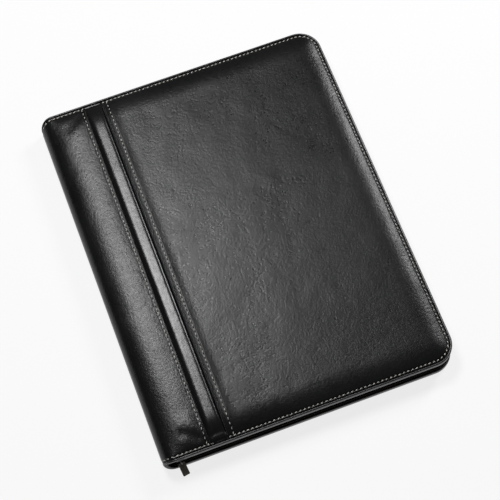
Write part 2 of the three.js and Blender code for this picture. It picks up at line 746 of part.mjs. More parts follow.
// An elastic loop for a pen, on the rear lining between the spine and the pad
function buildPenLoop() {
  const xHigh = PAD_X - LOOP_TO_PAD;
  const xLow = xHigh - LOOP_WIDTH;
  const low = REAR_LINING_Z;
  const wall = LOOP_WALL;
  const high = low + LOOP_HEIGHT;
  const outline = roundedRectangle(xLow, xHigh, low, high, LOOP_ROUND);
  const inner = LOOP_ROUND - wall;
  const hollow = roundedRectangle(xLow + wall, xHigh - wall, low + wall, high - wall, inner);
  const reach = LOOP_LENGTH / 2;
  const loop = cut(barAlongY(outline, -reach, reach), barAlongY(hollow, -LOOP_LENGTH, LOOP_LENGTH));
  addPiece('pen_loop', loop, 'elastic');
}

buildRearCover();
buildFrontCover();
buildSpine();
buildZip();
buildSlider();
buildPad();
buildFrontPockets();
buildPenLoop();

export default folder;
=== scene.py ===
# Looks of a zip-around A4 writing folder in padded leather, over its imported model.
# Metres, in the model's own frame: +X from the spine to the fore-edge, +Y from the tail to the head.

import math
from contextlib import contextmanager
from functools import cached_property

import bpy
import numpy as np
from bpy.props import FloatProperty, FloatVectorProperty, PointerProperty
from mathutils import Matrix, Vector, noise


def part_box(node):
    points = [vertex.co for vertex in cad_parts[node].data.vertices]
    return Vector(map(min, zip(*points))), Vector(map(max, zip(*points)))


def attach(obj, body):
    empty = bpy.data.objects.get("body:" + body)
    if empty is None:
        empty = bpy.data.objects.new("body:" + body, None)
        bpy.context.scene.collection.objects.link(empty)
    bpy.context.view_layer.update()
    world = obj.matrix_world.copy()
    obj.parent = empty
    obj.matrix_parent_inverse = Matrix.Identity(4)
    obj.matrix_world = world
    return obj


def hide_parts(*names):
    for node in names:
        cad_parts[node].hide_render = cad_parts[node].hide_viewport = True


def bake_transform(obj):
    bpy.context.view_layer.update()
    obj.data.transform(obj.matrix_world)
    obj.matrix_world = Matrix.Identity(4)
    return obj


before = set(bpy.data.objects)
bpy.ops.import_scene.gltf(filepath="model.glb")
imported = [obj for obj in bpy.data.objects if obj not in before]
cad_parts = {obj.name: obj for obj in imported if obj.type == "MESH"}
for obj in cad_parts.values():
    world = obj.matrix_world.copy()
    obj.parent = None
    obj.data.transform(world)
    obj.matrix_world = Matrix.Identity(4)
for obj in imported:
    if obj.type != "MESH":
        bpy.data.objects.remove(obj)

bl_info = {
    "name": "Zip-around Writing Folder",
    "version": (1, 0, 0),
    "blender": (4, 5, 0),
    "location": "View3D > Sidebar > Folder",
    "description": "Models the leather, stitching, zip and lining of a zip-around writing folder",
    "category": "Add Mesh",
}

MM = 0.001
TINY = 1e-9
QUARTER = math.pi / 2

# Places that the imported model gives
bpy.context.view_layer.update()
SPINE_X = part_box("spine_middle_leather")[0].x
BODY_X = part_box("rear_edge_binding")[0].x
FORE_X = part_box("rear_edge_binding")[1].x
HEAD_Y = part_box("rear_edge_binding")[1].y
SPINE_RADIUS = BODY_X - SPINE_X
MID_Z = SPINE_RADIUS
EDGE_TOP = 2 * SPINE_RADIUS
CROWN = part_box("front_main_panel")[1].z - EDGE_TOP
EDGE_INSET = FORE_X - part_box("front_main_panel")[1].x
HINGE_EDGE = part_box("front_hinge_panel")[1].x
MAIN_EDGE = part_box("front_main_panel")[0].x
RIDGE_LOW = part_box("front_ridge_strip")[0].x
RIDGE_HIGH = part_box("front_ridge_strip")[1].x
REAR_LINING_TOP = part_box("rear_lining")[1].z
FRONT_LINING_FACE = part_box("front_lining")[0].z
SPINE_LINING_RADIUS = BODY_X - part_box("spine_middle_lining")[1].x

# The folds of the spine, from the rear cover round to the front cover
FOLD_STEP = math.pi / 4
FOLD_REACH = math.radians(18)
FOLDS = {
    "rear": ("rear_cover", "spine_rear_strip"),
    "lower": ("spine_rear_strip", "spine_middle_strip"),
    "upper": ("spine_middle_strip", "spine_front_strip"),
    "front": ("spine_front_strip", "front_cover"),
}

# Spacing of the mesh lines at turned edges, over the crown, at the long seams and round the folds
EDGE_CELL = 0.42 * MM
CROWN_CELL = 1.3 * MM
SEAM_CELL = 0.35 * MM
WELT_CELL = 0.2 * MM
FOLD_CELL = 0.6 * MM
FOLD_TIP = 0.1 * MM
SEAM_BAND = 2 * MM

# How far wrinkles keep from the edge seams, the long seams and the spine
EDGE_CALM = 8 * MM
MAIN_CALM = 6 * MM
HINGE_CALM = 5 * MM
JOIN_CALM = 6 * MM
REAR_CALM = 10 * MM

# Turned edges: fall as a share of their round, fall past the hinge seam, and depth and run of lips
EDGE_SQUASH = 0.7
HINGE_TURN = 0.8 * MM
HINGE_LIP = (0.4 * MM, 0.6 * MM)
MAIN_LIP = (0.35 * MM, 0.5 * MM)

# Welt and groove along the main panel's edge, placed from that edge
WELT_HEIGHT = 0.30 * MM
WELT_PLACE = 0.7 * MM
WELT_WIDTH = 0.40 * MM
GROOVE_DEPTH = 0.60 * MM
GROOVE_PLACE = 1.7 * MM
GROOVE_WIDTH = 0.45 * MM
WELT_BAND = 2.6 * MM

# Creases pressed into the panels: start, end, width and depth of each
HINGE_CREASES = (
    ((SPINE_X + 0.023, 0.151), (SPINE_X + 0.036, 0.159), 0.0052, 0.00048),
    ((SPINE_X + 0.024, -0.151), (SPINE_X + 0.037, -0.160), 0.0044, 0.00060),
    ((SPINE_X + 0.014, 0.020), (SPINE_X + 0.033, 0.024), 0.0016, 0.00012),
    ((SPINE_X + 0.016, -0.038), (SPINE_X + 0.034, -0.034), 0.0016, 0.00012),
)
MAIN_CREASES = (
    ((0.000, 0.048), (0.036, 0.032), 0.0016, 0.00008),
    ((0.020, -0.016), (0.052, -0.034), 0.0022, 0.00007),
    ((-0.050, -0.112), (-0.022, -0.106), 0.0022, 0.00007),
    ((0.060, 0.095), (0.082, 0.066), 0.0024, 0.00007),
)

# A soft bulge at the tail end of the hinge panel
BULGE_X = SPINE_X + 30 * MM
BULGE_Y = -144 * MM
BULGE_WIDTH = 8 * MM
BULGE_HEIGHT = 0.35 * MM

# The ridge's ends, and the low oval swell at its tail end
RIDGE_CELL = 1.6 * MM
RIDGE_START = 3 * MM
RIDGE_RUN = 34 * MM
RIDGE_END_GROOVE = 0.35
RIDGE_GROOVE_RUN = 6 * MM
RIDGE_UNEVENNESS = 0.10 * MM
OVAL_FROM_END = 5.8 * MM
OVAL_WIDTH = 7.6 * MM
OVAL_LENGTH = 3.0 * MM
OVAL_HEIGHT = 0.9 * MM

# The rear cover's mesh: cells coarser by this share, and a band of finer ones before its seam
REAR_COARSENESS = 1.3
REAR_BAND = 14 * MM
REAR_BAND_CELL = 1.5 * MM

# Rolled edges of the covers and of the spine's ends
ROLL_WIDTH = 2 * MM
ROLL_ROUND = 0.95 * MM
ROLL_UNEVENNESS = 0.05 * MM
SPINE_ROLL_ROUND = 0.9 * MM
SPINE_ROLL_SETBACK = 0.2 * MM
SWEEP_CELL = 6 * MM
CORNER_STEPS = 14
FOLD_STEPS = 12

# Stitches: length as a share of the pitch, height and lift as shares of the thread, and slant
STITCH_SHARE = 0.66
STITCH_HEIGHT = 0.75
STITCH_LIFT = 0.05
STITCH_SLANT = math.radians(24)

# Needle holes, drawn as dark balls of painted shade: size as shares of the thread, height above the leather,
# and distance beside the seam
HOLE_SIZE = (1.6, 1.5, 0.22)
HOLE_LIFT = 0.05 * MM
HOLE_ASIDE = 0.25 * MM

# The long seams' stitches: slant, and size as shares of an edge stitch's
SEAM_SLANT = math.radians(-9)
SEAM_STITCH = (0.9, 0.74, 0.8)

# Points closer than this become one
MERGE = 0.01 * MM

# The spine's boards and the linings
SPINE_BOARD = 0.8 * MM
BOARD_GAP = 0.1 * MM
BOARD_MARGIN = 0.9 * MM
LINING_LAP = 5 * MM
LINING_SETTLE = 0.03 * MM

# Zip: the tape's place, and a tooth's ring, drawn out by shares that fit a chain of this height
TAPE_INSET = 7 * MM
TOOTH_RADIUS = 1.05 * MM
TOOTH_WIRE = 0.42 * MM
TOOTH_SHARES = (0.9, 0.92, 0.62)
CHAIN_HEIGHT = 1.6 * MM

# Pockets: cloth, turned edge, hem and seam, each with the depth and width of its dip, and stitches
POCKET_CLOTH = 0.45 * MM
POCKET_TURN = 0.9 * MM
POCKET_BORDER = 6 * MM
POCKET_HEM = 5 * MM
POCKET_HEM_DEPTH = 0.10 * MM
POCKET_HEM_WIDTH = 0.4 * MM
POCKET_SEAM = 2.6 * MM
POCKET_SEAM_DEPTH = 0.12 * MM
POCKET_SEAM_WIDTH = 0.5 * MM
POCKET_PITCH = 3.2 * MM
POCKET_STITCH_SHARE = 0.72
POCKET_STITCH_SINK = 0.05 * MM

# Pen loop, and the pad's ruling, heading and sheets
LOOP_WALL = 0.8 * MM
LOOP_ROUND = 3.6 * MM
RULING_PITCH = 7.5 * MM
HEADING_Y = 105 * MM
SHEET_PITCH = 0.22 * MM


# Settings that a user would change

def measure(name, description, millimetres):
    return FloatProperty(name=name, description=description, default=millimetres * MM, unit="LENGTH")


def angle(name, description, degrees):
    return FloatProperty(name=name, description=description, default=math.radians(degrees), subtype="ANGLE")


def tint(name, description, *colour):
    return FloatVectorProperty(name=name, description=description, default=colour, size=3, subtype="COLOR")


class FolderSizes(bpy.types.PropertyGroup):
    """Sizes of the leather work"""
    corner_radius: measure("Corner radius", "Round corners at the fore-edge", 20)
    leather: measure("Leather", "Thickness of the outer leather", 1.2)
    lining: measure("Lining", "Thickness of the inner lining", 0.7)
    cell: measure("Cell", "Distance between the mesh lines of a panel", 2.1)
    turned_edge: measure("Turned edge", "Leather turned down at an edge", 1.7)
    edge_round: measure("Edge round", "How far a turned edge rounds over", 1.0)
    edge_fall: angle("Edge fall", "Slope of the leather outside the edge seam", 19)
    seam_inset: measure("Seam inset", "From the outer edge to the stitched seam", 3.8)
    seam_depth: measure("Seam depth", "Depth of the channel under a seam", 0.45)
    seam_width: measure("Seam width", "Half width of the channel under a seam", 0.7)
    crown_run: measure("Crown run", "From the fore-edge seam to the full padding", 25)
    end_run: measure("End run", "From the head and tail seams to the full padding", 22)
    crown_power: FloatProperty(
        name="Crown fullness", description="How full the padding stands near the fore-edge", default=3.3)
    end_power: FloatProperty(
        name="End fullness", description="How full the padding stands near head and tail", default=2.3)
    head_dip: measure("Head dip", "Spine's back short of the covers at the head", 6)
    tail_dip: measure("Tail dip", "Spine's back short of the covers at the tail", 3.5)
    hinge_join: angle("Hinge join", "Where the hinge panel leaves the spine's round, from straight up", 26)
    panel_lift: measure("Panel lift", "Panels above the plain level of the padding", 0.35)
    hinge_fall: measure("Hinge fall", "The hinge seam below its panel's full padding", 0.30)
    main_rise: measure("Main rise", "The main seam's turned leather above its panel", 0.65)
    main_fall: angle("Main fall", "Slope of the turned leather from its edge down to the main seam", 9)
    seam_run: measure("Seam run", "From a long seam to its panel's plain level", 8)
    hinge_seam: measure("Hinge seam", "From the spine to the hinge panel's seam", 39.8)
    main_seam: measure("Main seam", "From the spine to the main panel's seam", 63.2)
    ridge_rise: measure("Ridge rise", "Ridge above the panels beside it", 1.0)
    ridge_groove: measure("Ridge groove", "Depth of the grooves along the ridge", 2.1)
    ridge_power: FloatProperty(
        name="Ridge fullness", description="How broad the ridge's top is", default=4.6)
    ridge_shift: measure("Ridge shift", "Crest line beyond the middle of its strip", 0.9)
    ridge_lean: angle("Ridge lean", "Top of the ridge turned to the spine", 2)
    stitch_pitch: measure("Stitch pitch", "Edge stitches, one to the next", 3.85)
    seam_pitch: measure("Seam pitch", "Stitches of the long seams, one to the next", 4.17)
    thread: measure("Thread", "Thickness of the sewing thread", 0.82)
    tooth_pitch: measure("Tooth pitch", "Zip teeth, one to the next", 1.4)
    wrinkle: measure("Wrinkles", "Height of the soft wrinkles", 0.07)


class FolderColours(bpy.types.PropertyGroup):
    """Colours of the folder's finishes"""
    leather: tint("Leather", "Outer leather", 0.0044, 0.0045, 0.0048)
    ridge: tint("Ridge", "Smoother leather of the ridge", 0.0052, 0.0053, 0.0056)
    thread: tint("Thread", "Sewing thread", 0.50, 0.48, 0.43)
    lining: tint("Lining", "Woven lining", 0.014, 0.0145, 0.016)
    tape: tint("Zip tape", "Woven zip tape", 0.007, 0.007, 0.0075)
    teeth: tint("Zip teeth", "Moulded zip teeth", 0.014, 0.014, 0.015)
    metal: tint("Metal", "Dark plated metal", 0.10, 0.10, 0.105)
    pull: tint("Pull", "Strip of the zip pull", 0.050, 0.044, 0.028)
    elastic: tint("Elastic", "Elastic of the pen loop", 0.009, 0.009, 0.010)
    paper: tint("Paper", "Sheets of the pad", 0.82, 0.81, 0.77)
    ruling: tint("Ruling", "Lines ruled on the pad", 0.36, 0.44, 0.58)
    card: tint("Card", "Backing card and boards", 0.34, 0.29, 0.22)
    foam: tint("Foam", "Padding", 0.045, 0.045, 0.048)


class FolderStudio(bpy.types.PropertyGroup):
    """Camera and floor"""
    lens: FloatProperty(name="Lens", description="Focal length in millimetres", default=122.4)
    azimuth: angle("Azimuth", "Camera's turn about the upright", -16.58)
    elevation: angle("Elevation", "Camera above the table", 66.89)
    roll: angle("Roll", "Camera's turn about its view", -4.16)
    distance: measure("Distance", "Camera from the point looked at", 1489.2)
    aim: FloatVectorProperty(
        name="Aim", description="Point looked at", default=(0.0045, -0.0064, 0), size=3,
        subtype="TRANSLATION")
    floor_size: FloatProperty(name="Floor", description="Width of the floor", default=60, unit="LENGTH")
    backdrop_white: FloatProperty(
        name="Backdrop white", description="Share of plain white in the floor, as the camera sees it",
        default=0.8, subtype="FACTOR")


# Selecting and reading meshes

def clear_selection():
    if bpy.context.mode != "OBJECT":
        bpy.ops.object.mode_set(mode="OBJECT")
    bpy.ops.object.select_all(action="DESELECT")


def take(piece):
    clear_selection()
    piece.select_set(True)
    bpy.context.view_layer.objects.active = piece


@contextmanager
def editing(piece, mode="VERT"):
    """Edit mode, entered with all of the piece selected and left again."""
    take(piece)
    bpy.ops.object.mode_set(mode="EDIT")
    bpy.ops.mesh.select_mode(type=mode)
    bpy.ops.mesh.select_all(action="SELECT")
    yield
    bpy.ops.object.mode_set(mode="OBJECT")


def named(name):
    piece = bpy.context.object
    piece.name = name
    piece.data.name = name
    return piece


def points_of(piece):
    points = np.empty(len(piece.data.vertices) * 3)
    piece.data.vertices.foreach_get("co", points)
    return points.reshape(-1, 3)


def set_points(piece, points):
    piece.data.vertices.foreach_set("co", np.asarray(points, float).ravel())
    piece.data.update()


def modify(piece, kind, **settings):
    modifier = piece.modifiers.new(kind.title(), kind)
    for name, value in settings.items():
        setattr(modifier, name, value)
    take(piece)
    bpy.ops.object.modifier_apply(modifier=modifier.name)


def smooth(piece, degrees=40):
    take(piece)
    bpy.ops.object.shade_smooth_by_angle(angle=math.radians(degrees))


def place_in_mesh(piece):
    take(piece)
    bpy.ops.object.transform_apply(location=True, rotation=True, scale=True)


def face_outwards(piece, outward):
    """Flips the faces if most of them look against the direction that outward gives for a point."""
    facing = sum(face.area * face.normal.dot(outward(face.center)) for face in piece.data.polygons)
    if facing < 0:
        with editing(piece):
            bpy.ops.mesh.flip_normals()


def graded(start, *stretches):
    """Distances of mesh lines from a start on through several stretches, each (end, spacing)."""
    lines = [start]
    for end, spacing in stretches:
        count = max(1, round(abs(end - start) / spacing))
        lines.extend(start + (end - start) * k / count for k in range(1, count + 1))
        start = end
    return np.array(lines)


def bordered(low, high, border, fine, coarse):
    """Distances of mesh lines that stand closer together along both borders."""
    return graded(low, (low + border, fine), (high - border, coarse), (high, fine))


def laid_sheet(name, across, along, place, facing, thickness):
    """A grid whose lines run at the given distances, laid by place, thick on the side away from facing."""
    clear_selection()
    bpy.ops.mesh.primitive_grid_add(x_subdivisions=len(across) - 1, y_subdivisions=len(along) - 1, size=1)
    sheet = named(name)
    share = points_of(sheet)[:, :2] + 0.5
    columns = np.rint(share[:, 0] * (len(across) - 1)).astype(int)
    rows = np.rint(share[:, 1] * (len(along) - 1)).astype(int)
    set_points(sheet, np.stack(place(across[columns], along[rows]), axis=1))
    face_outwards(sheet, lambda point: Vector(facing))
    modify(sheet, "SOLIDIFY", thickness=thickness, offset=-1)
    smooth(sheet)
    return sheet


def ring(name, points):
    """A closed line of edges through the points."""
    clear_selection()
    bpy.ops.mesh.primitive_circle_add(vertices=len(points), fill_type="NOTHING")
    piece = named(name)
    set_points(piece, points)
    return piece


def pattern(name, turn, size):
    """The primitive just added, turned about Y, drawn out to its size and named."""
    bpy.ops.transform.rotate(value=turn, orient_axis="Y", center_override=(0, 0, 0))
    bpy.ops.transform.resize(value=size)
    piece = named(name)
    place_in_mesh(piece)
    return piece


def copies(name, piece, places):
    """One mesh of many copies of a small pattern, each at its own place; the pattern itself is removed."""
    corners = np.c_[points_of(piece), np.ones(len(piece.data.vertices))]
    faces = [tuple(face.vertices) for face in piece.data.polygons]
    bpy.data.objects.remove(piece)
    points = []
    shapes = []
    for k, place in enumerate(places):
        points.extend(tuple(point) for point in (corners @ np.array(place).T)[:, :3])
        shapes.extend(tuple(index + k * len(corners) for index in face) for face in faces)
    mesh = bpy.data.meshes.new(name)
    mesh.from_pydata(points, [], shapes)
    joined = bpy.data.objects.new(name, mesh)
    bpy.context.scene.collection.objects.link(joined)
    smooth(joined, 60)
    return joined


def finished(piece, finish, slot, *nodes):
    piece.data.materials.clear()
    piece.data.materials.append(material_of(finish))
    if nodes:
        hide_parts(*nodes)


def ridden(piece, body, finish, slot, *nodes):
    finished(piece, finish, slot, *nodes)
    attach(piece, body)


def folded(piece, fold, finish, slot, *nodes, radius=SPINE_RADIUS):
    """The piece that lies over one fold of the spine: finished, and its place baked into its mesh."""
    finished(piece, finish, slot, *nodes)
    middle = fold_angle(fold)
    ends = [spine_point(middle + FOLD_REACH, radius), spine_point(middle - FOLD_REACH, radius)]
    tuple(ends[0])
    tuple(ends[1])
    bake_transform(piece)


def fold_angle(fold):
    """Where a fold stands round the spine's middle line, from straight right, turning up."""
    return 3 * QUARTER - FOLD_STEP * (list(FOLDS).index(fold) + 0.5)


def fold_ends(fold):
    """Where a fold's leather starts and ends, from the rear cover round."""
    return fold_angle(fold) + FOLD_STEP / 2, fold_angle(fold) - FOLD_STEP / 2


def spine_point(turn, radius, y=0):
    return BODY_X + radius * np.cos(turn), y, MID_Z + radius * np.sin(turn)


# Shapes of the leather

def eased(distance, run=1):
    """Share from 0 to 1 over a run, slow at both ends."""
    share = np.clip(distance / run, 0, 1)
    return share * share * (3 - 2 * share)


def hollow(distance, width):
    """Share of 1 in the middle that falls off to both sides."""
    return np.exp(-((distance / width) ** 2))


def lip(distance, depth, run):
    """Drop of leather that rounds off over a run to its edge."""
    return depth * np.clip(1 - distance / run, 0, 1) ** 2


def channel(sizes, from_seam):
    return sizes.seam_depth * hollow(from_seam, sizes.seam_width)


def turned(sizes, distance):
    """Leather sloping outside its seam and turned over its edge: how far in it lies, and how far down."""
    bend = sizes.edge_round
    start = EDGE_INSET + bend
    turn = np.clip((start - distance) / bend, 0, QUARTER)
    inset = np.where(distance >= start, distance, EDGE_INSET + bend * (1 - np.sin(turn)))
    past = np.maximum(start - bend * QUARTER - distance, 0)
    outside = np.maximum(sizes.seam_inset - 0.5 * sizes.seam_width - inset, 0)
    return inset, math.tan(sizes.edge_fall) * outside + EDGE_SQUASH * bend * (1 - np.cos(turn)) + past


def cover_plan(sizes, across, along):
    """Plan of a cover's sheet: x, y, the distance in from the outer edge, and the drop of the turned edge."""
    corner = sizes.corner_radius
    from_fore = FORE_X - across
    from_end = HEAD_Y - np.abs(along)
    inset, drop = turned(sizes, np.minimum(from_fore, from_end))
    dx = corner - from_fore
    dy = corner - from_end
    rounded = (dx > 0) & (dy > 0)
    share = (corner - inset) / np.maximum(np.hypot(dx, dy), TINY)
    x = np.where(rounded, FORE_X - corner + dx * share, FORE_X - turned(sizes, from_fore)[0])
    y = np.where(rounded, HEAD_Y - corner + dy * share, HEAD_Y - turned(sizes, from_end)[0])
    return x, np.sign(along) * y, inset, drop


def hinge_start(sizes):
    """Where the hinge panel leaves the spine's round."""
    return BODY_X - SPINE_RADIUS * math.sin(sizes.hinge_join)


def front_height(sizes, x, y, inset):
    """Height of the padded front over its edge seam and its hinge side, without turned edges."""
    fore = np.clip(1 - (FORE_X - x - sizes.seam_inset) / sizes.crown_run, 0, None)
    end = np.clip(1 - (HEAD_Y - np.abs(y) - sizes.seam_inset) / sizes.end_run, 0, None)
    padding = 1 - np.clip(np.hypot(fore ** sizes.crown_power, end ** sizes.end_power), 0, 1)
    start = hinge_start(sizes)
    start_z = MID_Z + SPINE_RADIUS * math.cos(sizes.hinge_join)
    base = MID_Z + np.sqrt(SPINE_RADIUS ** 2 - np.clip(BODY_X - x, 0, BODY_X - start) ** 2)
    full = EDGE_TOP + CROWN + sizes.panel_lift
    run = HINGE_EDGE - start
    bend = math.tan(sizes.hinge_join) * run / (full - start_z)
    padded = full - (full - start_z) * np.clip((HINGE_EDGE - x) / run, 0, 1) ** bend
    return base + padding * (padded - base) - channel(sizes, inset - sizes.seam_inset)


def near_seam(sizes, distance):
    """Share from 1 at a long seam to 0 where its panel lies level."""
    return 1 - np.sin(np.clip(distance / sizes.seam_run, 0, 1) * QUARTER)


def hinge_relief(sizes, x, inset):
    """Hinge panel beside its long seam: padding pulled down to it, and an edge that turns down past it."""
    seam = SPINE_X + sizes.hinge_seam
    fall = sizes.hinge_fall * near_seam(sizes, seam - x) + lip(HINGE_EDGE - x, HINGE_TURN, HINGE_EDGE - seam)
    return -fall * eased(inset, sizes.crown_run)


def main_relief(sizes, x, inset):
    """Main panel beside its long seam: a welt at its edge, a groove, and doubled leather to the seam."""
    from_seam = x - SPINE_X - sizes.main_seam
    rise = sizes.main_rise * near_seam(sizes, from_seam)
    rise += math.tan(sizes.main_fall) * np.maximum(-from_seam, 0)
    welt = WELT_HEIGHT * hollow(x - MAIN_EDGE - WELT_PLACE, WELT_WIDTH)
    groove = GROOVE_DEPTH * hollow(x - MAIN_EDGE - GROOVE_PLACE, GROOVE_WIDTH)
    return (rise + welt - groove) * eased(inset, sizes.crown_run)


def barrelled(sizes, turn, along):
    """Pulls the spine's ends in towards the middle of its back; turn is 0 at the covers and 1 at the back."""
    dip = np.where(np.asarray(along) > 0, sizes.head_dip, sizes.tail_dip)
    return along * (1 - dip * (1 - np.sqrt(1 - np.clip(turn, 0, 1) ** 2)) / HEAD_Y)


def round_back(sizes, turn, along, radius):
    """A place round the spine, at a radius from its middle line."""
    return spine_point(turn, radius, barrelled(sizes, -np.cos(turn), along))


def around_spine(sizes, turn, along):
    """Outer face of the leather round the spine."""
    from_end = HEAD_Y - np.abs(along)
    inset, drop = turned(sizes, from_end)
    radius = SPINE_RADIUS - drop - channel(sizes, from_end - sizes.seam_inset)
    return round_back(sizes, turn, np.sign(along) * (HEAD_Y - inset), radius)


def joined_to_spine(sizes, bent, turn, along, flat):
    """Places of a cover's leather, round the spine where it is bent and flat elsewhere."""
    return tuple(np.where(bent, *pair) for pair in zip(around_spine(sizes, turn, along), flat))


def unevenness(x, y, per_metre, seed):
    """Soft height from -1 to 1, the same on every run."""
    return np.array([
        noise.fractal(Vector((a * per_metre, b * per_metre, seed)), 1.0, 2.1, 3) for a, b in zip(x, y)
    ])


def creased(x, y, creases):
    """Depth of creases pressed along their lines."""
    depths = np.zeros(len(x))
    for start, end, width, depth in creases:
        run = np.subtract(end, start)
        share = np.clip(((x - start[0]) * run[0] + (y - start[1]) * run[1]) / (run @ run), 0, 1)
        distance = np.hypot(x - start[0] - share * run[0], y - start[1] - share * run[1])
        depths += depth * hollow(distance, width)
    return depths


def rows_of(sizes, cell):
    """Mesh lines from tail to head, closer together at the edge seams."""
    out = HEAD_Y - EDGE_INSET + sizes.turned_edge
    seam = HEAD_Y - sizes.seam_inset - SEAM_BAND
    padded = HEAD_Y - sizes.seam_inset - sizes.crown_run
    return graded(
        -out, (-seam, EDGE_CELL), (-padded, CROWN_CELL), (padded, cell), (seam, CROWN_CELL), (out, EDGE_CELL))


# Shader expressions

class Wire:
    """A socket's value in an expression; each operator adds a Math node."""

    def __init__(self, bench, socket):
        self.bench = bench
        self.socket = socket

    def math(self, operation, *values):
        return self.bench.out(self.bench.node("ShaderNodeMath", {"operation": operation}, *values))

    def __add__(self, other):
        return self.math("ADD", self, other)

    def __radd__(self, other):
        return self.math("ADD", other, self)

    def __sub__(self, other):
        return self.math("SUBTRACT", self, other)

    def __rsub__(self, other):
        return self.math("SUBTRACT", other, self)

    def __mul__(self, other):
        return self.math("MULTIPLY", self, other)

    def __rmul__(self, other):
        return self.math("MULTIPLY", other, self)

    def __abs__(self):
        return self.math("ABSOLUTE", self)

    def sine(self):
        return self.math("SINE", self)

    def largest(self, other):
        return self.math("MAXIMUM", self, other)

    def kept(self, low, high):
        """How far the value is from low to high, as a share between 0 and 1."""
        return self.bench.out(
            self.bench.node("ShaderNodeMapRange", {"clamp": True}, self, low, high, 0.0, 1.0))


class Bench:
    """The node tree of one material, or of the world."""

    def __init__(self, owner):
        owner.use_nodes = True
        self.owner = owner
        self.nodes = owner.node_tree.nodes
        self.links = owner.node_tree.links
        self.nodes.clear()

    def node(self, kind, settings=None, *values, **sockets):
        """Adds a node: its settings first, then values or links in socket order or by socket name."""
        node = self.nodes.new(kind)
        for name, value in (settings or {}).items():
            setattr(node, name, value)
        for index, value in enumerate(values):
            self.feed(node.inputs[index], value)
        for name, value in sockets.items():
            self.feed(node.inputs[name.replace("_", " ")], value)
        return node

    def feed(self, socket, value):
        """Links a wire, sets a value, or leaves the socket alone if there is none."""
        if isinstance(value, Wire):
            self.links.new(value.socket, socket)
        elif value is not None:
            socket.default_value = (*value, 1.0) if socket.type == "RGBA" else value

    def out(self, node, name=0):
        return Wire(self, node.outputs[name])

    @cached_property
    def place(self):
        """Object coordinates, in metres."""
        return self.out(self.node("ShaderNodeTexCoord"), "Object")

    def parts(self, vector):
        node = self.node("ShaderNodeSeparateXYZ", None, vector)
        return [self.out(node, k) for k in range(3)]

    def scaled(self, scale, turn=0.0):
        return self.out(self.node("ShaderNodeMapping", None, self.place, Scale=scale, Rotation=(0, 0, turn)))

    def noise(self, per_metre, detail=3.0, roughness=0.5, distortion=0.0, place=None):
        return self.out(self.node(
            "ShaderNodeTexNoise", None, Vector=place or self.place, Scale=per_metre, Detail=detail,
            Roughness=roughness, Distortion=distortion))

    def cells(self, per_metre, spread=1.0):
        node = self.node("ShaderNodeTexVoronoi", None, Vector=self.place, Scale=per_metre, Randomness=spread)
        return self.out(node, "Distance")

    def tinted(self, share, low, high):
        """A colour between two, by a share."""
        node = self.node("ShaderNodeMix", {"data_type": "RGBA"})
        for index, value in ((0, share), (6, low), (7, high)):
            self.feed(node.inputs[index], value)
        return self.out(node, 2)

    def varied(self, colour, share, low, high):
        """A colour between low and high times itself, by a share."""
        return self.tinted(share, brighter(colour, low), brighter(colour, high))

    def bump(self, height, depth, strength=1.0, below=None):
        return self.out(self.node(
            "ShaderNodeBump", None, Strength=strength, Distance=depth, Height=height, Normal=below))

    def surface(self, **sockets):
        self.end(self.node("ShaderNodeBsdfPrincipled", None, **sockets))

    def end(self, shader):
        kind = "World" if isinstance(self.owner, bpy.types.World) else "Material"
        self.node(f"ShaderNodeOutput{kind}", None, Surface=self.out(shader))


def brighter(colour, factor):
    return tuple(min(1.0, value * factor) for value in colour)


def material_of(finish):
    """The material that a finish makes, made the first time that it is asked for."""
    title = f"folder_{finish.__name__}"
    material = bpy.data.materials.get(title)
    if not material:
        material = bpy.data.materials.new(title)
        finish(Bench(material), bpy.context.scene.folder_colours)
    return material


# Finishes

def leather_finish(bench, colour, roughness, grain_depth, crease_depth, specular):
    """Dark leather: pebbled grain, soft wrinkles, and cloudy patches where it is polished or dull."""
    pebbles = bench.cells(1150, spread=0.9)
    fine = bench.noise(2600, roughness=0.6)
    pores = bench.noise(520, roughness=0.6)
    soft = bench.noise(55, detail=6, roughness=0.6, distortion=0.6)
    slanted = bench.scaled((120, 34, 60), turn=0.6)
    streaks = bench.noise(1, detail=6, roughness=0.62, distortion=0.6, place=slanted)
    wrinkles = (1.0 - abs(streaks - 0.5).kept(0.0, 0.07)) * soft.kept(0.42, 0.72)
    clouds = bench.noise(16, detail=2, roughness=0.55, distortion=0.3)
    coarse = bench.noise(330, roughness=0.75)
    grain = bench.bump(0.5 * pebbles + 0.2 * fine + 1.7 * pores, grain_depth)
    height = 1.4 * soft + 0.9 * coarse + 5.0 * clouds + 0.5 * streaks - 0.06 * wrinkles
    rough = roughness + 0.10 * (clouds - 0.5) + 0.16 * (coarse - 0.5) + 0.06 * (streaks - 0.5)
    bench.surface(
        Base_Color=bench.varied(colour, clouds.kept(0.3, 0.7), 0.8, 1.3), Roughness=rough,
        Normal=bench.bump(height, crease_depth, below=grain), Specular_IOR_Level=specular)


def outer_leather(bench, colours):
    leather_finish(
        bench, colours.leather, roughness=0.30, grain_depth=0.075 * MM, crease_depth=0.16 * MM, specular=0.30)


def ridge_leather(bench, colours):
    leather_finish(
        bench, colours.ridge, roughness=0.26, grain_depth=0.02 * MM, crease_depth=0.07 * MM, specular=0.31)


def edge_leather(bench, colours):
    leather_finish(
        bench, colours.leather, roughness=0.38, grain_depth=0.06 * MM, crease_depth=0.1 * MM, specular=0.7)


def pocket_leather(bench, colours):
    leather_finish(
        bench, brighter(colours.leather, 1.4), roughness=0.46, grain_depth=0.08 * MM,
        crease_depth=0.2 * MM, specular=0.4)


def sewing_thread(bench, colours):
    strands = bench.noise(5200, detail=2, distortion=1.2)
    tone = bench.varied(colours.thread, bench.noise(300).kept(0.3, 0.7), 0.72, 1.25)
    bench.surface(Base_Color=tone, Roughness=0.62, Normal=bench.bump(strands, 0.12 * MM, 0.7))


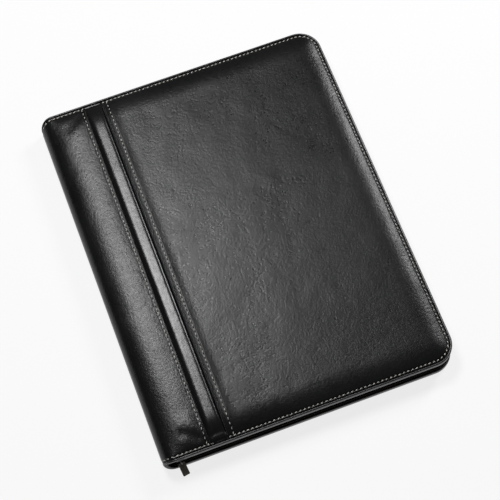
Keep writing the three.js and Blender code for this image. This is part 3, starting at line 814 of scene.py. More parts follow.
def painted_hole_shade(bench, colours):
    # Much darker than the leather: painted shade inside a needle hole
    tone = bench.varied(colours.leather, bench.noise(900), 0.2, 0.5)
    bench.surface(Base_Color=tone, Roughness=0.9, Specular_IOR_Level=0.1)


def woven(bench, colour, threads, roughness, depth, twill=0.0):
    """Cloth of crossing threads, so many a metre, with painted shade between the threads; twill slants the
    crossings.
    """
    x, y, z = bench.parts(bench.place)
    across = ((x + z) * (threads * 2 * math.pi)).sine()
    along = ((y + twill * x) * (threads * 2 * math.pi)).sine()
    weave = abs(across) * 0.5 + abs(along) * 0.5
    patches = bench.noise(45, detail=4)
    # Darker where the weave lies low: painted shade between the threads; the patches are the cloth's own
    # uneven tone
    tone = bench.varied(colour, (weave * 0.6 + patches * 0.5).kept(0.2, 0.9), 0.6, 1.5)
    bench.surface(
        Base_Color=tone, Roughness=roughness, Normal=bench.bump(weave, depth, 0.7), Specular_IOR_Level=0.25,
        Sheen_Weight=0.08, Sheen_Roughness=0.5)


def lining_cloth(bench, colours):
    woven(bench, colours.lining, threads=1100, roughness=0.78, depth=0.12 * MM)


def tape_cloth(bench, colours):
    woven(bench, colours.tape, threads=900, roughness=0.85, depth=0.14 * MM, twill=0.6)


def elastic_web(bench, colours):
    woven(bench, colours.elastic, threads=620, roughness=0.8, depth=0.2 * MM)


def pull_strip(bench, colours):
    x, y, _ = bench.parts(bench.place)
    ribs = abs(((x + 0.16 * y) * 5200).sine())
    wear = bench.noise(500, detail=4)
    tone = bench.varied(colours.pull, wear.kept(0.35, 0.75), 0.7, 1.8)
    bench.surface(
        Base_Color=tone, Roughness=0.6, Normal=bench.bump(ribs + wear * 0.5, 0.12 * MM, 0.5),
        Specular_IOR_Level=0.35)


def zip_teeth(bench, colours):
    scuff = bench.noise(700, detail=4)
    tone = bench.varied(colours.teeth, scuff.kept(0.35, 0.7), 1, 1.9)
    bench.surface(Base_Color=tone, Roughness=0.32 + 0.2 * scuff, Normal=bench.bump(scuff, 0.05 * MM, 0.4))


def dark_metal(bench, colours):
    scuff = bench.noise(420, detail=5, roughness=0.6)
    brushed = bench.noise(1, place=bench.scaled((300, 3200, 3200)))
    tone = bench.varied(colours.metal, scuff.kept(0.4, 0.75), 1, 1.9)
    bench.surface(
        Base_Color=tone, Metallic=1.0, Roughness=0.26 + 0.2 * brushed,
        Normal=bench.bump(brushed, 0.04 * MM, 0.4))


def padding_foam(bench, colours):
    pores = bench.cells(1400)
    # Darker in the pits of the cells: painted shade in the foam's pores
    tone = bench.varied(colours.foam, pores.kept(0.1, 0.5), 0.5, 1.3)
    bench.surface(Base_Color=tone, Roughness=0.95, Normal=bench.bump(pores, 0.3 * MM, 0.6))


def grey_board(bench, colours):
    fibres = bench.noise(1, detail=5, roughness=0.6, place=bench.scaled((900, 260, 900)))
    flecks = bench.noise(1300, detail=4)
    tone = bench.varied(colours.card, (fibres * 0.6 + flecks * 0.5).kept(0.35, 0.75), 0.75, 1.15)
    bench.surface(Base_Color=tone, Roughness=0.9, Normal=bench.bump(fibres, 0.1 * MM, 0.4))


def ruled_paper(bench, colours):
    """Pale sheets with ruled lines on top, and at the sides the edges of the sheets with painted shade
    between them.
    """
    _, y, z = bench.parts(bench.place)
    up = bench.parts(bench.out(bench.node("ShaderNodeNewGeometry"), "Normal"))[2].kept(0.5, 0.6)
    line = abs((y * (math.pi / RULING_PITCH)).sine()).kept(0.93, 0.985)
    below_heading = 1.0 - y.kept(HEADING_Y, HEADING_Y + 0.5 * MM)
    sheets = (z * (2 * math.pi / SHEET_PITCH)).sine() * 0.5 + 0.5
    fibres = bench.noise(1800, detail=4)
    white = bench.varied(colours.paper, fibres.kept(0.3, 0.7), 0.96, 1)
    top = bench.tinted(line * up * below_heading * 0.75, white, colours.ruling)
    # At the sides, dark bands between the sheets: painted shade in the gaps between them, which also leaves
    # the sides darker than the top
    tone = bench.tinted((1.0 - up) * sheets * 0.45, top, brighter(colours.paper, 0.45))
    height = sheets * (1.0 - up) + fibres * 0.3
    bench.surface(Base_Color=tone, Roughness=0.85, Normal=bench.bump(height, 0.1 * MM, 0.5))


# Leather panels

class FOLDER_OT_front_panels(bpy.types.Operator):
    """Padded hinge panel and main panel of the front cover"""
    bl_idname = "writing_folder.front_panels"
    bl_label = "Front Panels"

    def execute(self, context):
        sizes = context.scene.folder_sizes
        self.main_panel(sizes, SPINE_X + sizes.main_seam)
        self.hinge_panel(sizes, SPINE_X + sizes.hinge_seam)
        return {"FINISHED"}

    def main_panel(self, sizes, seam):
        def place(across, along):
            x, y, inset, drop = cover_plan(sizes, across, along)
            z = front_height(sizes, x, y, inset) + main_relief(sizes, x, inset) - drop
            calm = eased(inset - sizes.seam_inset, EDGE_CALM) * eased(x - seam, MAIN_CALM)
            swell = sizes.wrinkle * unevenness(x, y, per_metre=34, seed=1.5)
            z += calm * (swell - creased(x, y, MAIN_CREASES))
            z -= channel(sizes, x - seam) + lip(x - MAIN_EDGE, *MAIN_LIP)
            return x, y, z

        edge_seam = FORE_X - sizes.seam_inset
        across = graded(
            MAIN_EDGE, (MAIN_EDGE + WELT_BAND, WELT_CELL), (seam + SEAM_BAND, SEAM_CELL),
            (edge_seam - sizes.crown_run, sizes.cell), (edge_seam - SEAM_BAND, CROWN_CELL),
            (FORE_X - EDGE_INSET + sizes.turned_edge, EDGE_CELL))
        rows = rows_of(sizes, sizes.cell)
        panel = laid_sheet("main_panel_skin", across, rows, place, (0, 0, 1), sizes.leather)
        ridden(panel, "front_cover", outer_leather, "panel_leather", "front_main_panel")

    def hinge_panel(self, sizes, seam):
        start = hinge_start(sizes)

        def place(across, along):
            x, y, inset, drop = cover_plan(sizes, np.maximum(across, start), along)
            y = barrelled(sizes, (BODY_X - x) / SPINE_RADIUS, y)
            z = front_height(sizes, x, y, inset) + hinge_relief(sizes, x, inset) - drop
            calm = eased(inset - sizes.seam_inset, EDGE_CALM) * eased(seam - x, HINGE_CALM)
            swell = 2 * sizes.wrinkle * unevenness(x, y, per_metre=30, seed=7.5)
            swell += BULGE_HEIGHT * hollow(np.hypot(x - BULGE_X, y - BULGE_Y), BULGE_WIDTH)
            z += calm * (eased(x - start, JOIN_CALM) * swell - creased(x, y, HINGE_CREASES))
            z -= channel(sizes, x - seam) + lip(HINGE_EDGE - x, *HINGE_LIP)
            turn = QUARTER + sizes.hinge_join + (start - across) / SPINE_RADIUS
            return joined_to_spine(sizes, across < start, turn, along, (x, y, z))

        tip = start - SPINE_RADIUS * (FOLD_STEP - sizes.hinge_join)
        across = graded(
            tip, (tip + FOLD_TIP, FOLD_TIP), (start, FOLD_CELL), (seam - SEAM_BAND, CROWN_CELL),
            (HINGE_EDGE, SEAM_CELL))
        rows = rows_of(sizes, sizes.cell)
        panel = laid_sheet("hinge_panel_skin", across, rows, place, (0, 0, 1), sizes.leather)
        folded(panel, "front", outer_leather, "panel_leather", "front_hinge_panel")


class FOLDER_OT_ridge(bpy.types.Operator):
    """Padded ridge strip between the two front panels"""
    bl_idname = "writing_folder.ridge"
    bl_label = "Ridge"

    def execute(self, context):
        sizes = context.scene.folder_sizes
        crest = (RIDGE_LOW + RIDGE_HIGH) / 2 + sizes.ridge_shift

        def place(across, along):
            x, y, inset, drop = cover_plan(sizes, across, along)
            share = np.abs((x - crest) / np.where(x < crest, crest - RIDGE_LOW, RIDGE_HIGH - crest))
            end = HEAD_Y - np.abs(y)
            swell = 1 - (1 - np.clip((end - RIDGE_START) / RIDGE_RUN, 0, 1)) ** 3
            groove = sizes.ridge_groove * (RIDGE_END_GROOVE + (1 - RIDGE_END_GROOVE) * swell)
            dome = 1 - np.clip(share, 0, 1) ** sizes.ridge_power
            rise = (sizes.ridge_rise + groove + math.tan(sizes.ridge_lean) * (x - crest)) * swell * dome
            oval = 1 - ((x - crest) / OVAL_WIDTH) ** 4 - ((end - OVAL_FROM_END) / OVAL_LENGTH) ** 2
            z = front_height(sizes, x, y, inset) - drop - groove * eased(inset, RIDGE_GROOVE_RUN) + rise
            z += OVAL_HEIGHT * np.sqrt(np.clip(oval, 0, 1)) * (y < 0)
            z += swell * RIDGE_UNEVENNESS * unevenness(x, y, per_metre=40, seed=3.5)
            return x, y, z

        across = graded(RIDGE_LOW, (RIDGE_HIGH, SEAM_CELL))
        rows = rows_of(sizes, RIDGE_CELL)
        strip = laid_sheet("ridge_skin", across, rows, place, (0, 0, 1), sizes.leather)
        ridden(strip, "front_cover", ridge_leather, "ridge_leather", "front_ridge_strip")
        return {"FINISHED"}


class FOLDER_OT_spine(bpy.types.Operator):
    """Leather round the spine, in two pieces laid curved over the folds"""
    bl_idname = "writing_folder.spine"
    bl_label = "Spine"

    def execute(self, context):
        sizes = context.scene.folder_sizes
        self.strip(sizes, "lower", "spine_rear_leather")
        self.strip(sizes, "upper", "spine_middle_leather", "spine_front_leather")
        return {"FINISHED"}

    def strip(self, sizes, fold, *nodes):
        high, low = fold_ends(fold)
        tip = FOLD_TIP / SPINE_RADIUS

        def place(across, along):
            x, y, z = around_spine(sizes, across, along)
            calm = eased(HEAD_Y - np.abs(y) - sizes.seam_inset, EDGE_CALM)
            calm *= np.clip((high - across) * (across - low) / (FOLD_STEP / 2) ** 2 * 2, 0, 1)
            rise = calm * 0.5 * sizes.wrinkle * unevenness(across * SPINE_RADIUS, y, per_metre=30, seed=5.5)
            return x + rise * np.cos(across), y, z + rise * np.sin(across)

        turns = graded(high, (high - tip, tip), (low + tip, FOLD_CELL / SPINE_RADIUS), (low, tip))
        rows = rows_of(sizes, sizes.cell)
        skin = laid_sheet(f"spine_{fold}_skin", turns, rows, place, (-1, 0, 0), sizes.leather)
        folded(skin, fold, outer_leather, "spine_leather", *nodes)


class FOLDER_OT_rear_cover(bpy.types.Operator):
    """Leather of the rear cover, carried round into the spine"""
    bl_idname = "writing_folder.rear_cover"
    bl_label = "Rear Cover"

    def execute(self, context):
        sizes = context.scene.folder_sizes

        def place(across, along):
            x, y, inset, drop = cover_plan(sizes, np.maximum(across, BODY_X), along)
            calm = eased(inset - sizes.seam_inset, EDGE_CALM) * eased(x - BODY_X, REAR_CALM)
            z = drop + channel(sizes, inset - sizes.seam_inset)
            z += calm * 0.6 * sizes.wrinkle * (1 + unevenness(x, y, per_metre=26, seed=9.5))
            turn = 3 * QUARTER - (BODY_X - across) / SPINE_RADIUS
            return joined_to_spine(sizes, across < BODY_X, turn, along, (x, y, z))

        tip = BODY_X - SPINE_RADIUS * FOLD_STEP
        seam = FORE_X - sizes.seam_inset - SEAM_BAND
        cell = REAR_COARSENESS * sizes.cell
        across = graded(
            tip, (tip + FOLD_TIP, FOLD_TIP), (BODY_X, FOLD_CELL), (seam - REAR_BAND, cell),
            (seam, REAR_BAND_CELL), (FORE_X - EDGE_INSET + sizes.turned_edge, EDGE_CELL))
        skin = laid_sheet("rear_cover_skin", across, rows_of(sizes, cell), place, (0, 0, -1), sizes.leather)
        folded(skin, "rear", outer_leather, "panel_leather", "rear_leather")
        return {"FINISHED"}


# Edges that follow the covers round

def swept_edge(name, outline, inset, start):
    """A section extruded along the tail, spun round two corners and extruded back along the head."""
    corner = bpy.context.scene.folder_sizes.corner_radius
    piece = ring(name, [(start, -HEAD_Y + inset + inward, up) for inward, up in outline])
    run = FORE_X - corner - start
    with editing(piece, "EDGE"):
        extrude_run((run, 0, 0), SWEEP_CELL)
        spin_corner(-1, corner)
        extrude_run((0, 2 * (HEAD_Y - corner), 0), SWEEP_CELL)
        spin_corner(1, corner)
        extrude_run((-run, 0, 0), SWEEP_CELL)
        bpy.ops.mesh.select_all(action="SELECT")
        bpy.ops.mesh.remove_doubles(threshold=MERGE)
        bpy.ops.mesh.select_all(action="DESELECT")
        bpy.ops.mesh.select_non_manifold()
        bpy.ops.mesh.edge_face_add()
        close_ends()
    return piece


def extrude_run(run, spacing):
    steps = max(1, round(Vector(run).length / spacing))
    for _ in range(steps):
        bpy.ops.mesh.extrude_region_move(
            TRANSFORM_OT_translate={"value": tuple(distance / steps for distance in run)})


def spin_corner(side, corner):
    centre = (FORE_X - corner, side * (HEAD_Y - corner), 0)
    bpy.ops.mesh.spin(steps=CORNER_STEPS, angle=-QUARTER, center=centre, axis=(0, 0, 1))


def close_ends():
    bpy.ops.mesh.select_all(action="SELECT")
    bpy.ops.mesh.fill_holes(sides=0)
    bpy.ops.mesh.normals_make_consistent(inside=False)


def rounded_outline(x_low, x_high, z_low, z_high, radius, steps=4):
    """Points of a rectangle with round corners, from its low corner on."""
    points = []
    for quarter in range(4):
        centre_x = x_low + radius if quarter in (0, 3) else x_high - radius
        centre_z = z_low + radius if quarter < 2 else z_high - radius
        for k in range(steps + 1):
            turn = QUARTER * (2 + quarter + k / steps)
            points.append((centre_x + radius * math.cos(turn), centre_z + radius * math.sin(turn)))
    return points


class FOLDER_OT_edge_rolls(bpy.types.Operator):
    """Rolled leather edges of the covers and of the spine's ends"""
    bl_idname = "writing_folder.edge_rolls"
    bl_label = "Edge Rolls"

    def execute(self, context):
        for side, up in (("rear", 1), ("front", -1)):
            low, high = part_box(f"{side}_edge_binding")
            outline = rounded_outline(0, ROLL_WIDTH, low.z, high.z, ROLL_ROUND)
            roll = swept_edge(f"{side}_edge_roll", outline, 0, BODY_X)
            points = points_of(roll)
            points[:, 2] += up * ROLL_UNEVENNESS * unevenness(*points[:, :2].T, per_metre=90, seed=2.5)
            set_points(roll, points)
            smooth(roll, 50)
            ridden(roll, f"{side}_cover", edge_leather, "edge_binding", f"{side}_edge_binding")
        for fold in FOLDS:
            self.spine_ends(context.scene.folder_sizes, fold)
        return {"FINISHED"}

    def spine_ends(self, sizes, fold):
        """The rolled edge at both ends of the spine, over one fold."""
        inner = SPINE_LINING_RADIUS - SPINE_ROLL_SETBACK
        outer = SPINE_RADIUS - SPINE_ROLL_SETBACK
        outline = rounded_outline(0, ROLL_WIDTH, inner, outer, SPINE_ROLL_ROUND, steps=3)
        start = fold_ends(fold)[0]
        ends = []
        for side in (-1, 1):
            section = [spine_point(start, radius, side * (HEAD_Y - inward)) for inward, radius in outline]
            end = ring(f"spine_{fold}_roll", section)
            with editing(end, "EDGE"):
                bpy.ops.mesh.spin(
                    steps=FOLD_STEPS, angle=-FOLD_STEP, center=(BODY_X, 0, MID_Z), axis=(0, 1, 0))
                close_ends()
            ends.append(end)
        take(ends[0])
        ends[1].select_set(True)
        bpy.ops.object.join()
        roll = bpy.context.object
        points = points_of(roll)
        reach = np.hypot(points[:, 0] - BODY_X, points[:, 2] - MID_Z)
        points[:, 1] = barrelled(sizes, (BODY_X - points[:, 0]) / reach, points[:, 1])
        set_points(roll, points)
        smooth(roll, 50)
        folded(roll, fold, edge_leather, "spine_leather")


# Stitching

def stitch_pattern(sizes, length):
    """One stitch along X: a rounded twist of thread, a little flattened."""
    clear_selection()
    bpy.ops.mesh.primitive_uv_sphere_add(segments=6, ring_count=6, radius=0.5)
    return pattern("stitch_pattern", QUARTER, (length, sizes.thread, STITCH_HEIGHT * sizes.thread))


def hole_pattern(sizes):
    """Painted shade of a needle hole, as a flattened dark ball."""
    clear_selection()
    bpy.ops.mesh.primitive_uv_sphere_add(segments=8, ring_count=4, radius=0.5)
    return pattern("hole_pattern", 0, tuple(share * sizes.thread for share in HOLE_SIZE))


def on_surface(point, run, up, slant=0.0):
    """A place whose X follows the run and whose Z stands off the surface, turned a little about it."""
    up = Vector(up).normalized()
    run = (Vector(run) - Vector(run).dot(up) * up).normalized()
    run = Matrix.Rotation(slant, 3, up) @ run
    turn = Matrix((run, up.cross(run), up)).transposed().to_4x4()
    return Matrix.Translation(point) @ turn


def round_cover(sizes, inset, start, pitch):
    """Places along a line inside a cover's outer edge, tail to head: x, y and the heading at each."""
    corner = sizes.corner_radius
    radius = corner - inset
    run = FORE_X - corner - start
    rise = 2 * (HEAD_Y - corner)
    arc = radius * QUARTER
    whole = 2 * run + rise + 2 * arc
    count = int(whole / pitch)
    for k in range(count):
        gone = (k + 0.5) * whole / count
        first = min(max(gone - run, 0) / radius, QUARTER)
        climb = min(max(gone - run - arc, 0), rise)
        second = min(max(gone - run - arc - rise, 0) / radius, QUARTER)
        back = max(gone - whole + run, 0)
        x = start + min(gone, run) + radius * (math.sin(first) + math.cos(second) - 1) - back
        y = inset - HEAD_Y + radius * (1 - math.cos(first) + math.sin(second)) + climb
        yield x, y, first + second


class FOLDER_OT_stitching(bpy.types.Operator):
    """Contrast stitching along the edges, the long seams and the spine's ends"""
    bl_idname = "writing_folder.stitching"
    bl_label = "Stitching"

    def execute(self, context):
        sizes = context.scene.folder_sizes
        for side, up in (("front", 1), ("rear", -1)):
            stitches, holes = self.edge_seam(sizes, side, up)
            if side == "front":
                self.long_seam(sizes, SPINE_X + sizes.hinge_seam, hinge_relief, stitches, holes)
                self.long_seam(sizes, SPINE_X + sizes.main_seam, main_relief, stitches, holes)
            stitch = stitch_pattern(sizes, STITCH_SHARE * sizes.stitch_pitch)
            piece = copies(f"{side}_cover_stitching", stitch, stitches)
            ridden(piece, f"{side}_cover", sewing_thread, "panel_leather")
            # Dark balls of painted shade at the needle holes
            piece = copies(f"{side}_cover_painted_hole_shades", hole_pattern(sizes), holes)
            ridden(piece, f"{side}_cover", painted_hole_shade, "panel_leather")
        for fold in FOLDS:
            self.spine_ends(sizes, fold)
        return {"FINISHED"}

    def edge_seam(self, sizes, side, up):
        stitches = []
        holes = []
        for x, y, heading in round_cover(sizes, sizes.seam_inset, BODY_X, sizes.stitch_pitch):
            z = sizes.seam_depth
            if side == "front":
                sunk = RIDGE_END_GROOVE * sizes.ridge_groove if HINGE_EDGE < x < MAIN_EDGE else 0
                z = float(front_height(sizes, x, y, sizes.seam_inset)) - sunk
            run = Vector((math.cos(heading), math.sin(heading), 0))
            lift = up * STITCH_LIFT * sizes.thread
            stitches.append(on_surface((x, y, z + lift), run, (0, 0, up), STITCH_SLANT))
            aside = up * HOLE_ASIDE * run.cross(Vector((0, 0, -1)))
            for end in (-0.5, 0.5):
                spot = Vector((x, y, z + up * HOLE_LIFT)) + run * end * sizes.stitch_pitch + aside
                holes.append(on_surface(spot, run, (0, 0, up)))
        return stitches, holes

    def long_seam(self, sizes, x, relief, stitches, holes):
        reach = HEAD_Y - EDGE_INSET - sizes.edge_round
        count = round(2 * reach / sizes.seam_pitch)
        for k in range(count):
            y = -reach + (k + 0.5) * 2 * reach / count
            near = HEAD_Y - abs(y) + np.array([-0.5, 0, 0.5]) * MM
            heights = front_height(sizes, x, HEAD_Y - near, near) + relief(sizes, x, near) - sizes.seam_depth
            slope = float(heights[2] - heights[0]) / MM * (-1 if y > 0 else 1)
            up = Vector((0, -slope, 1))
            run = Vector((0, 1, slope))
            spot = Vector((x, y, float(heights[1]) + STITCH_LIFT * sizes.thread))
            stitches.append(on_surface(spot, run, up, SEAM_SLANT) @ Matrix.Diagonal((*SEAM_STITCH, 1)))
            for end in (-0.5, 0.5):
                holes.append(on_surface(spot + run.normalized() * end * sizes.seam_pitch, run, up))

    def spine_ends(self, sizes, fold):
        count = round(SPINE_RADIUS * FOLD_STEP / sizes.stitch_pitch)
        radius = SPINE_RADIUS - sizes.seam_depth + STITCH_LIFT * sizes.thread
        places = []
        for end in (-1, 1):
            for k in range(count):
                turn = fold_angle(fold) + FOLD_STEP * (0.5 - (k + 0.5) / count)
                spot = round_back(sizes, turn, end * (HEAD_Y - sizes.seam_inset), radius)
                out = (math.cos(turn), 0, math.sin(turn))
                run = (math.sin(turn), 0, -math.cos(turn))
                places.append(on_surface([float(value) for value in spot], run, out, STITCH_SLANT * end))
        stitch = stitch_pattern(sizes, STITCH_SHARE * sizes.stitch_pitch)
        folded(copies(f"spine_{fold}_stitching", stitch, places), fold, sewing_thread, "spine_leather")


# Linings and boards

class FOLDER_OT_linings(bpy.types.Operator):
    """Woven linings inside the covers and round the inside of the spine"""
    bl_idname = "writing_folder.linings"
    bl_label = "Linings"

    def execute(self, context):
        sizes = context.scene.folder_sizes
        self.cover_lining(sizes, "rear", REAR_LINING_TOP, 1)
        self.cover_lining(sizes, "front", FRONT_LINING_FACE, -1)
        for fold in FOLDS:
            self.spine_lining(sizes, fold)
        return {"FINISHED"}

    def cover_lining(self, sizes, side, face, up):
        def place(across, along):
            x, y, _, drop = cover_plan(sizes, across, along)
            return x, y, np.full(len(x), face) - up * 0.4 * drop

        out = HEAD_Y - EDGE_INSET
        along = bordered(-out, out, border=3 * MM, fine=0.5 * MM, coarse=5 * MM)
        across = graded(
            BODY_X, (BODY_X + 10 * MM, 2 * MM), (FORE_X - 24 * MM, 5 * MM), (FORE_X - EDGE_INSET, 1.5 * MM))
        sheet = laid_sheet(f"{side}_lining_cloth", across, along, place, (0, 0, up), sizes.lining)
        ridden(sheet, f"{side}_cover", lining_cloth, "lining", f"{side}_lining")

    def spine_lining(self, sizes, fold):
        high, low = fold_ends(fold)
        lap = LINING_LAP / SPINE_LINING_RADIUS
        if fold == "rear":
            turns = graded(high + lap, (high, lap / 4), (low, FOLD_STEP / 14))
        elif fold == "front":
            turns = graded(high, (low, FOLD_STEP / 14), (low - lap, lap / 4))
        else:
            turns = graded(high, (low, FOLD_STEP / 12))
        cover_radius = MID_Z - REAR_LINING_TOP

        def place(across, along):
            turn = np.clip(across, QUARTER, 3 * QUARTER)
            share = eased(np.abs(turn - math.pi) - math.pi / 3, math.pi / 6)
            radius = SPINE_LINING_RADIUS + (cover_radius - SPINE_LINING_RADIUS) * share
            past = np.abs(across - turn) * SPINE_LINING_RADIUS
            x, y, z = round_back(sizes, turn, along, radius)
            return x + past, y, z - LINING_SETTLE * (past > 0) * np.sin(turn)

        end = HEAD_Y - 2 * MM
        along = graded(-end, (end, 6 * MM))
        sheet = laid_sheet(f"spine_{fold}_lining_cloth", turns, along, place, (1, 0, 0), sizes.lining)
        nodes = {"lower": ["spine_rear_lining"], "upper": ["spine_middle_lining", "spine_front_lining"]}
        folded(sheet, fold, lining_cloth, "lining", *nodes.get(fold, []), radius=SPINE_LINING_RADIUS)


class FOLDER_OT_stiffeners(bpy.types.Operator):
    """Curved boards inside the spine's three strips"""
    bl_idname = "writing_folder.stiffeners"
    bl_label = "Stiffeners"

    def execute(self, context):
        sizes = context.scene.folder_sizes
        radius = SPINE_RADIUS - sizes.leather - BOARD_GAP
        margin = BOARD_MARGIN / radius

        def place(turn, along):
            return round_back(sizes, turn, along, radius)

        lower = fold_angle("lower")
        starts = {"rear": lower + FOLD_STEP / 2, "middle": lower, "front": lower - FOLD_STEP / 2}
        for strip, start in starts.items():
            node = f"spine_{strip}_stiffener"
            low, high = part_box(node)
            turns = graded(start - margin, (start - FOLD_STEP + margin, FOLD_STEP / 12))
            along = graded(low.y, (high.y, 12 * MM))
            board = laid_sheet(f"spine_{strip}_board", turns, along, place, (-1, 0, 0), SPINE_BOARD)
            ridden(board, f"spine_{strip}_strip", grey_board, "board", node)
        return {"FINISHED"}


# Zip

class FOLDER_OT_zip(bpy.types.Operator):
    """Woven tapes and moulded teeth of the zip"""
    bl_idname = "writing_folder.zip"
    bl_label = "Zip"

    def execute(self, context):
        sizes = context.scene.folder_sizes
        for side, up in (("rear", 1), ("front", -1)):
            self.tape_and_teeth(sizes, side, up)
        return {"FINISHED"}

    def tape_and_teeth(self, sizes, side, up):
        tape_low, tape_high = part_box(f"{side}_zip_tape")
        chain_low, chain_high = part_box(f"{side}_zip_chain")
        seat = tape_low.z if up > 0 else tape_high.z
        foot = chain_low.z if up > 0 else chain_high.z
        wall = 0.7
        # The tape's section, in millimetres: inward from its line, and up from its seat or its foot
        profile = (
            (-4.2, seat, 0), (-1.4, seat, 0), (0.1, seat, 0.1), (wall, seat, 0.9), (wall, foot, 0.3),
            (0.05, foot, 0.3), (0, seat, 1.5), (-0.5, seat, 0.75), (-1.4, seat, 0.55), (-4.2, seat, 0.5))
        outline = [(inward * MM, base + up * rise * MM) for inward, base, rise in profile]
        tape = swept_edge(f"{side}_tape_cloth", outline, TAPE_INSET, tape_low.x)
        smooth(tape, 60)
        ridden(tape, f"{side}_cover", tape_cloth, "zip_tape", f"{side}_zip_tape")
        middle = (chain_low.z + chain_high.z) / 2
        line = round_cover(sizes, TAPE_INSET + wall / 2 * MM, chain_low.x, sizes.tooth_pitch)
        places = [Matrix.Translation((x, y, middle)) @ Matrix.Rotation(turn, 4, "Z") for x, y, turn in line]
        teeth = copies(f"{side}_zip_teeth", self.tooth(chain_high.z - chain_low.z), places)
        ridden(teeth, f"{side}_cover", zip_teeth, "zip_coil")

    def tooth(self, height):
        """One turn of the coil, round the cord, standing across X."""
        clear_selection()
        bpy.ops.mesh.primitive_torus_add(
            major_segments=10, minor_segments=4, major_radius=TOOTH_RADIUS, minor_radius=TOOTH_WIRE)
        thick, wide, high = TOOTH_SHARES
        return pattern("tooth_pattern", QUARTER, (thick, wide, high * height / CHAIN_HEIGHT))


class FOLDER_OT_slider(bpy.types.Operator):
    """Slider, ring and pull strip of the zip"""
    bl_idname = "writing_folder.slider"
    bl_label = "Slider and Pull"

    def execute(self, context):
        edges = {"segments": 2, "limit_method": "ANGLE"}
        slider = self.softened("zip_slider", "BEVEL", width=0.16 * MM, angle_limit=0.6, **edges)
        ridden(slider, "zip_slider", dark_metal, "zip_metal", "zip_slider")
        pull_ring = self.softened("pull_ring", "SUBSURF", levels=1, render_levels=1)
        ridden(pull_ring, "pull_ring", dark_metal, "zip_metal", "pull_ring")
        strip = self.softened("pull_tab", "BEVEL", width=0.22 * MM, angle_limit=0.9, **edges)
        ridden(strip, "pull_tab", pull_strip, "pull", "pull_tab")
        return {"FINISHED"}

    def softened(self, node, kind, **settings):
        """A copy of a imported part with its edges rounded."""
        name = "pull_strip" if node == "pull_tab" else f"{node}_metal"
        piece = bpy.data.objects.new(name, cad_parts[node].data.copy())
        bpy.context.scene.collection.objects.link(piece)
        with editing(piece):
            bpy.ops.mesh.remove_doubles(threshold=MERGE)
        modify(piece, kind, **settings)
        smooth(piece)
        return piece


# Inside

class FOLDER_OT_pockets(bpy.types.Operator):
    """Pockets inside the covers, with turned edges, a hem and stitching"""
    bl_idname = "writing_folder.pockets"
    bl_label = "Pockets"

    def execute(self, context):
        sizes = context.scene.folder_sizes
        self.pocket(sizes, "pad_pocket", "rear", 1, "head", lining_cloth, "lining")
        self.pocket(sizes, "document_pocket", "front", -1, "spine", lining_cloth, "lining")
        for k in (1, 2, 3):
            self.pocket(sizes, f"card_pocket_{k}", "front", -1, "head", pocket_leather, "pocket_leather")
        return {"FINISHED"}

    def pocket(self, sizes, node, side, up, open_side, finish, slot):
        low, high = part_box(node)
        face = high.z if up > 0 else low.z

        def place(x, y):
            sides = {"spine": x - low.x, "fore": high.x - x, "tail": y - low.y, "head": high.y - y}
            opening = sides.pop(open_side)
            edge = np.minimum.reduce(list(sides.values()))
            turn = 1 - np.clip(edge / POCKET_TURN, 0, 1)
            drop = (high.z - low.z - POCKET_CLOTH) * (1 - np.sqrt(np.clip(1 - turn ** 2, 0, 1)))
            drop += POCKET_SEAM_DEPTH * hollow(edge - POCKET_SEAM, POCKET_SEAM_WIDTH)
            drop += POCKET_HEM_DEPTH * hollow(opening - POCKET_HEM, POCKET_HEM_WIDTH)
            return x, y, face - up * drop

        across, along = (
            bordered(low[k], high[k], POCKET_BORDER, fine=0.5 * MM, coarse=4 * MM) for k in (0, 1))
        piece = laid_sheet(f"{node}_panel", across, along, place, (0, 0, up), POCKET_CLOTH)
        ridden(piece, f"{side}_cover", finish, slot, node)
        z = face - up * POCKET_STITCH_SINK
        places = [
            on_surface((*spot, z), (*run, 0), (0, 0, up), 0.12)
            for spot, run in self.stitch_spots(low, high, open_side)
        ]
        stitch = stitch_pattern(sizes, POCKET_STITCH_SHARE * POCKET_PITCH)
        seam = copies(f"{node}_stitching", stitch, places)
        points = points_of(seam)
        points[:, 2] = z + (points[:, 2] - z) * 0.5
        set_points(seam, points)
        ridden(seam, f"{side}_cover", sewing_thread, slot)

    def stitch_spots(self, low, high, open_side):
        """Middle and direction of each stitch, along the closed sides and the hem."""
        left = low.x + POCKET_SEAM
        right = high.x - POCKET_SEAM
        tail = low.y + POCKET_SEAM
        head = high.y - POCKET_SEAM
        lines = [((left, tail), (right, tail)), ((right, tail), (right, head))]
        if open_side == "head":
            hem = high.y - POCKET_HEM
            lines += [((left, tail), (left, head)), ((left, hem), (right, hem))]
        else:
            hem = low.x + POCKET_HEM
            lines += [((left, head), (right, head)), ((hem, tail), (hem, head))]
        for start, end in lines:
            run = Vector(end) - Vector(start)
            count = max(1, round(run.length / POCKET_PITCH))
            for k in range(count):
                yield Vector(start) + run * (k + 0.5) / count, run


class FOLDER_OT_pen_loop(bpy.types.Operator):
    """Elastic loop for a pen"""
    bl_idname = "writing_folder.pen_loop"
    bl_label = "Pen Loop"

    def execute(self, context):
        low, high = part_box("pen_loop")
        outline = rounded_outline(low.x, high.x, low.z, high.z, LOOP_ROUND, steps=6)
        loop = ring("pen_loop_elastic", [(x, low.y, z) for x, z in outline])
        with editing(loop, "EDGE"):
            extrude_run((0, high.y - low.y, 0), 1.5 * MM)
            bpy.ops.mesh.select_all(action="SELECT")
            bpy.ops.mesh.normals_make_consistent(inside=False)
        centre = Vector(((low.x + high.x) / 2, 0, (low.z + high.z) / 2))
        face_outwards(loop, lambda point: point - centre)
        modify(loop, "SOLIDIFY", thickness=LOOP_WALL, offset=-1, use_even_offset=True)
        smooth(loop, 50)
        ridden(loop, "rear_cover", elastic_web, "elastic", "pen_loop")
        return {"FINISHED"}


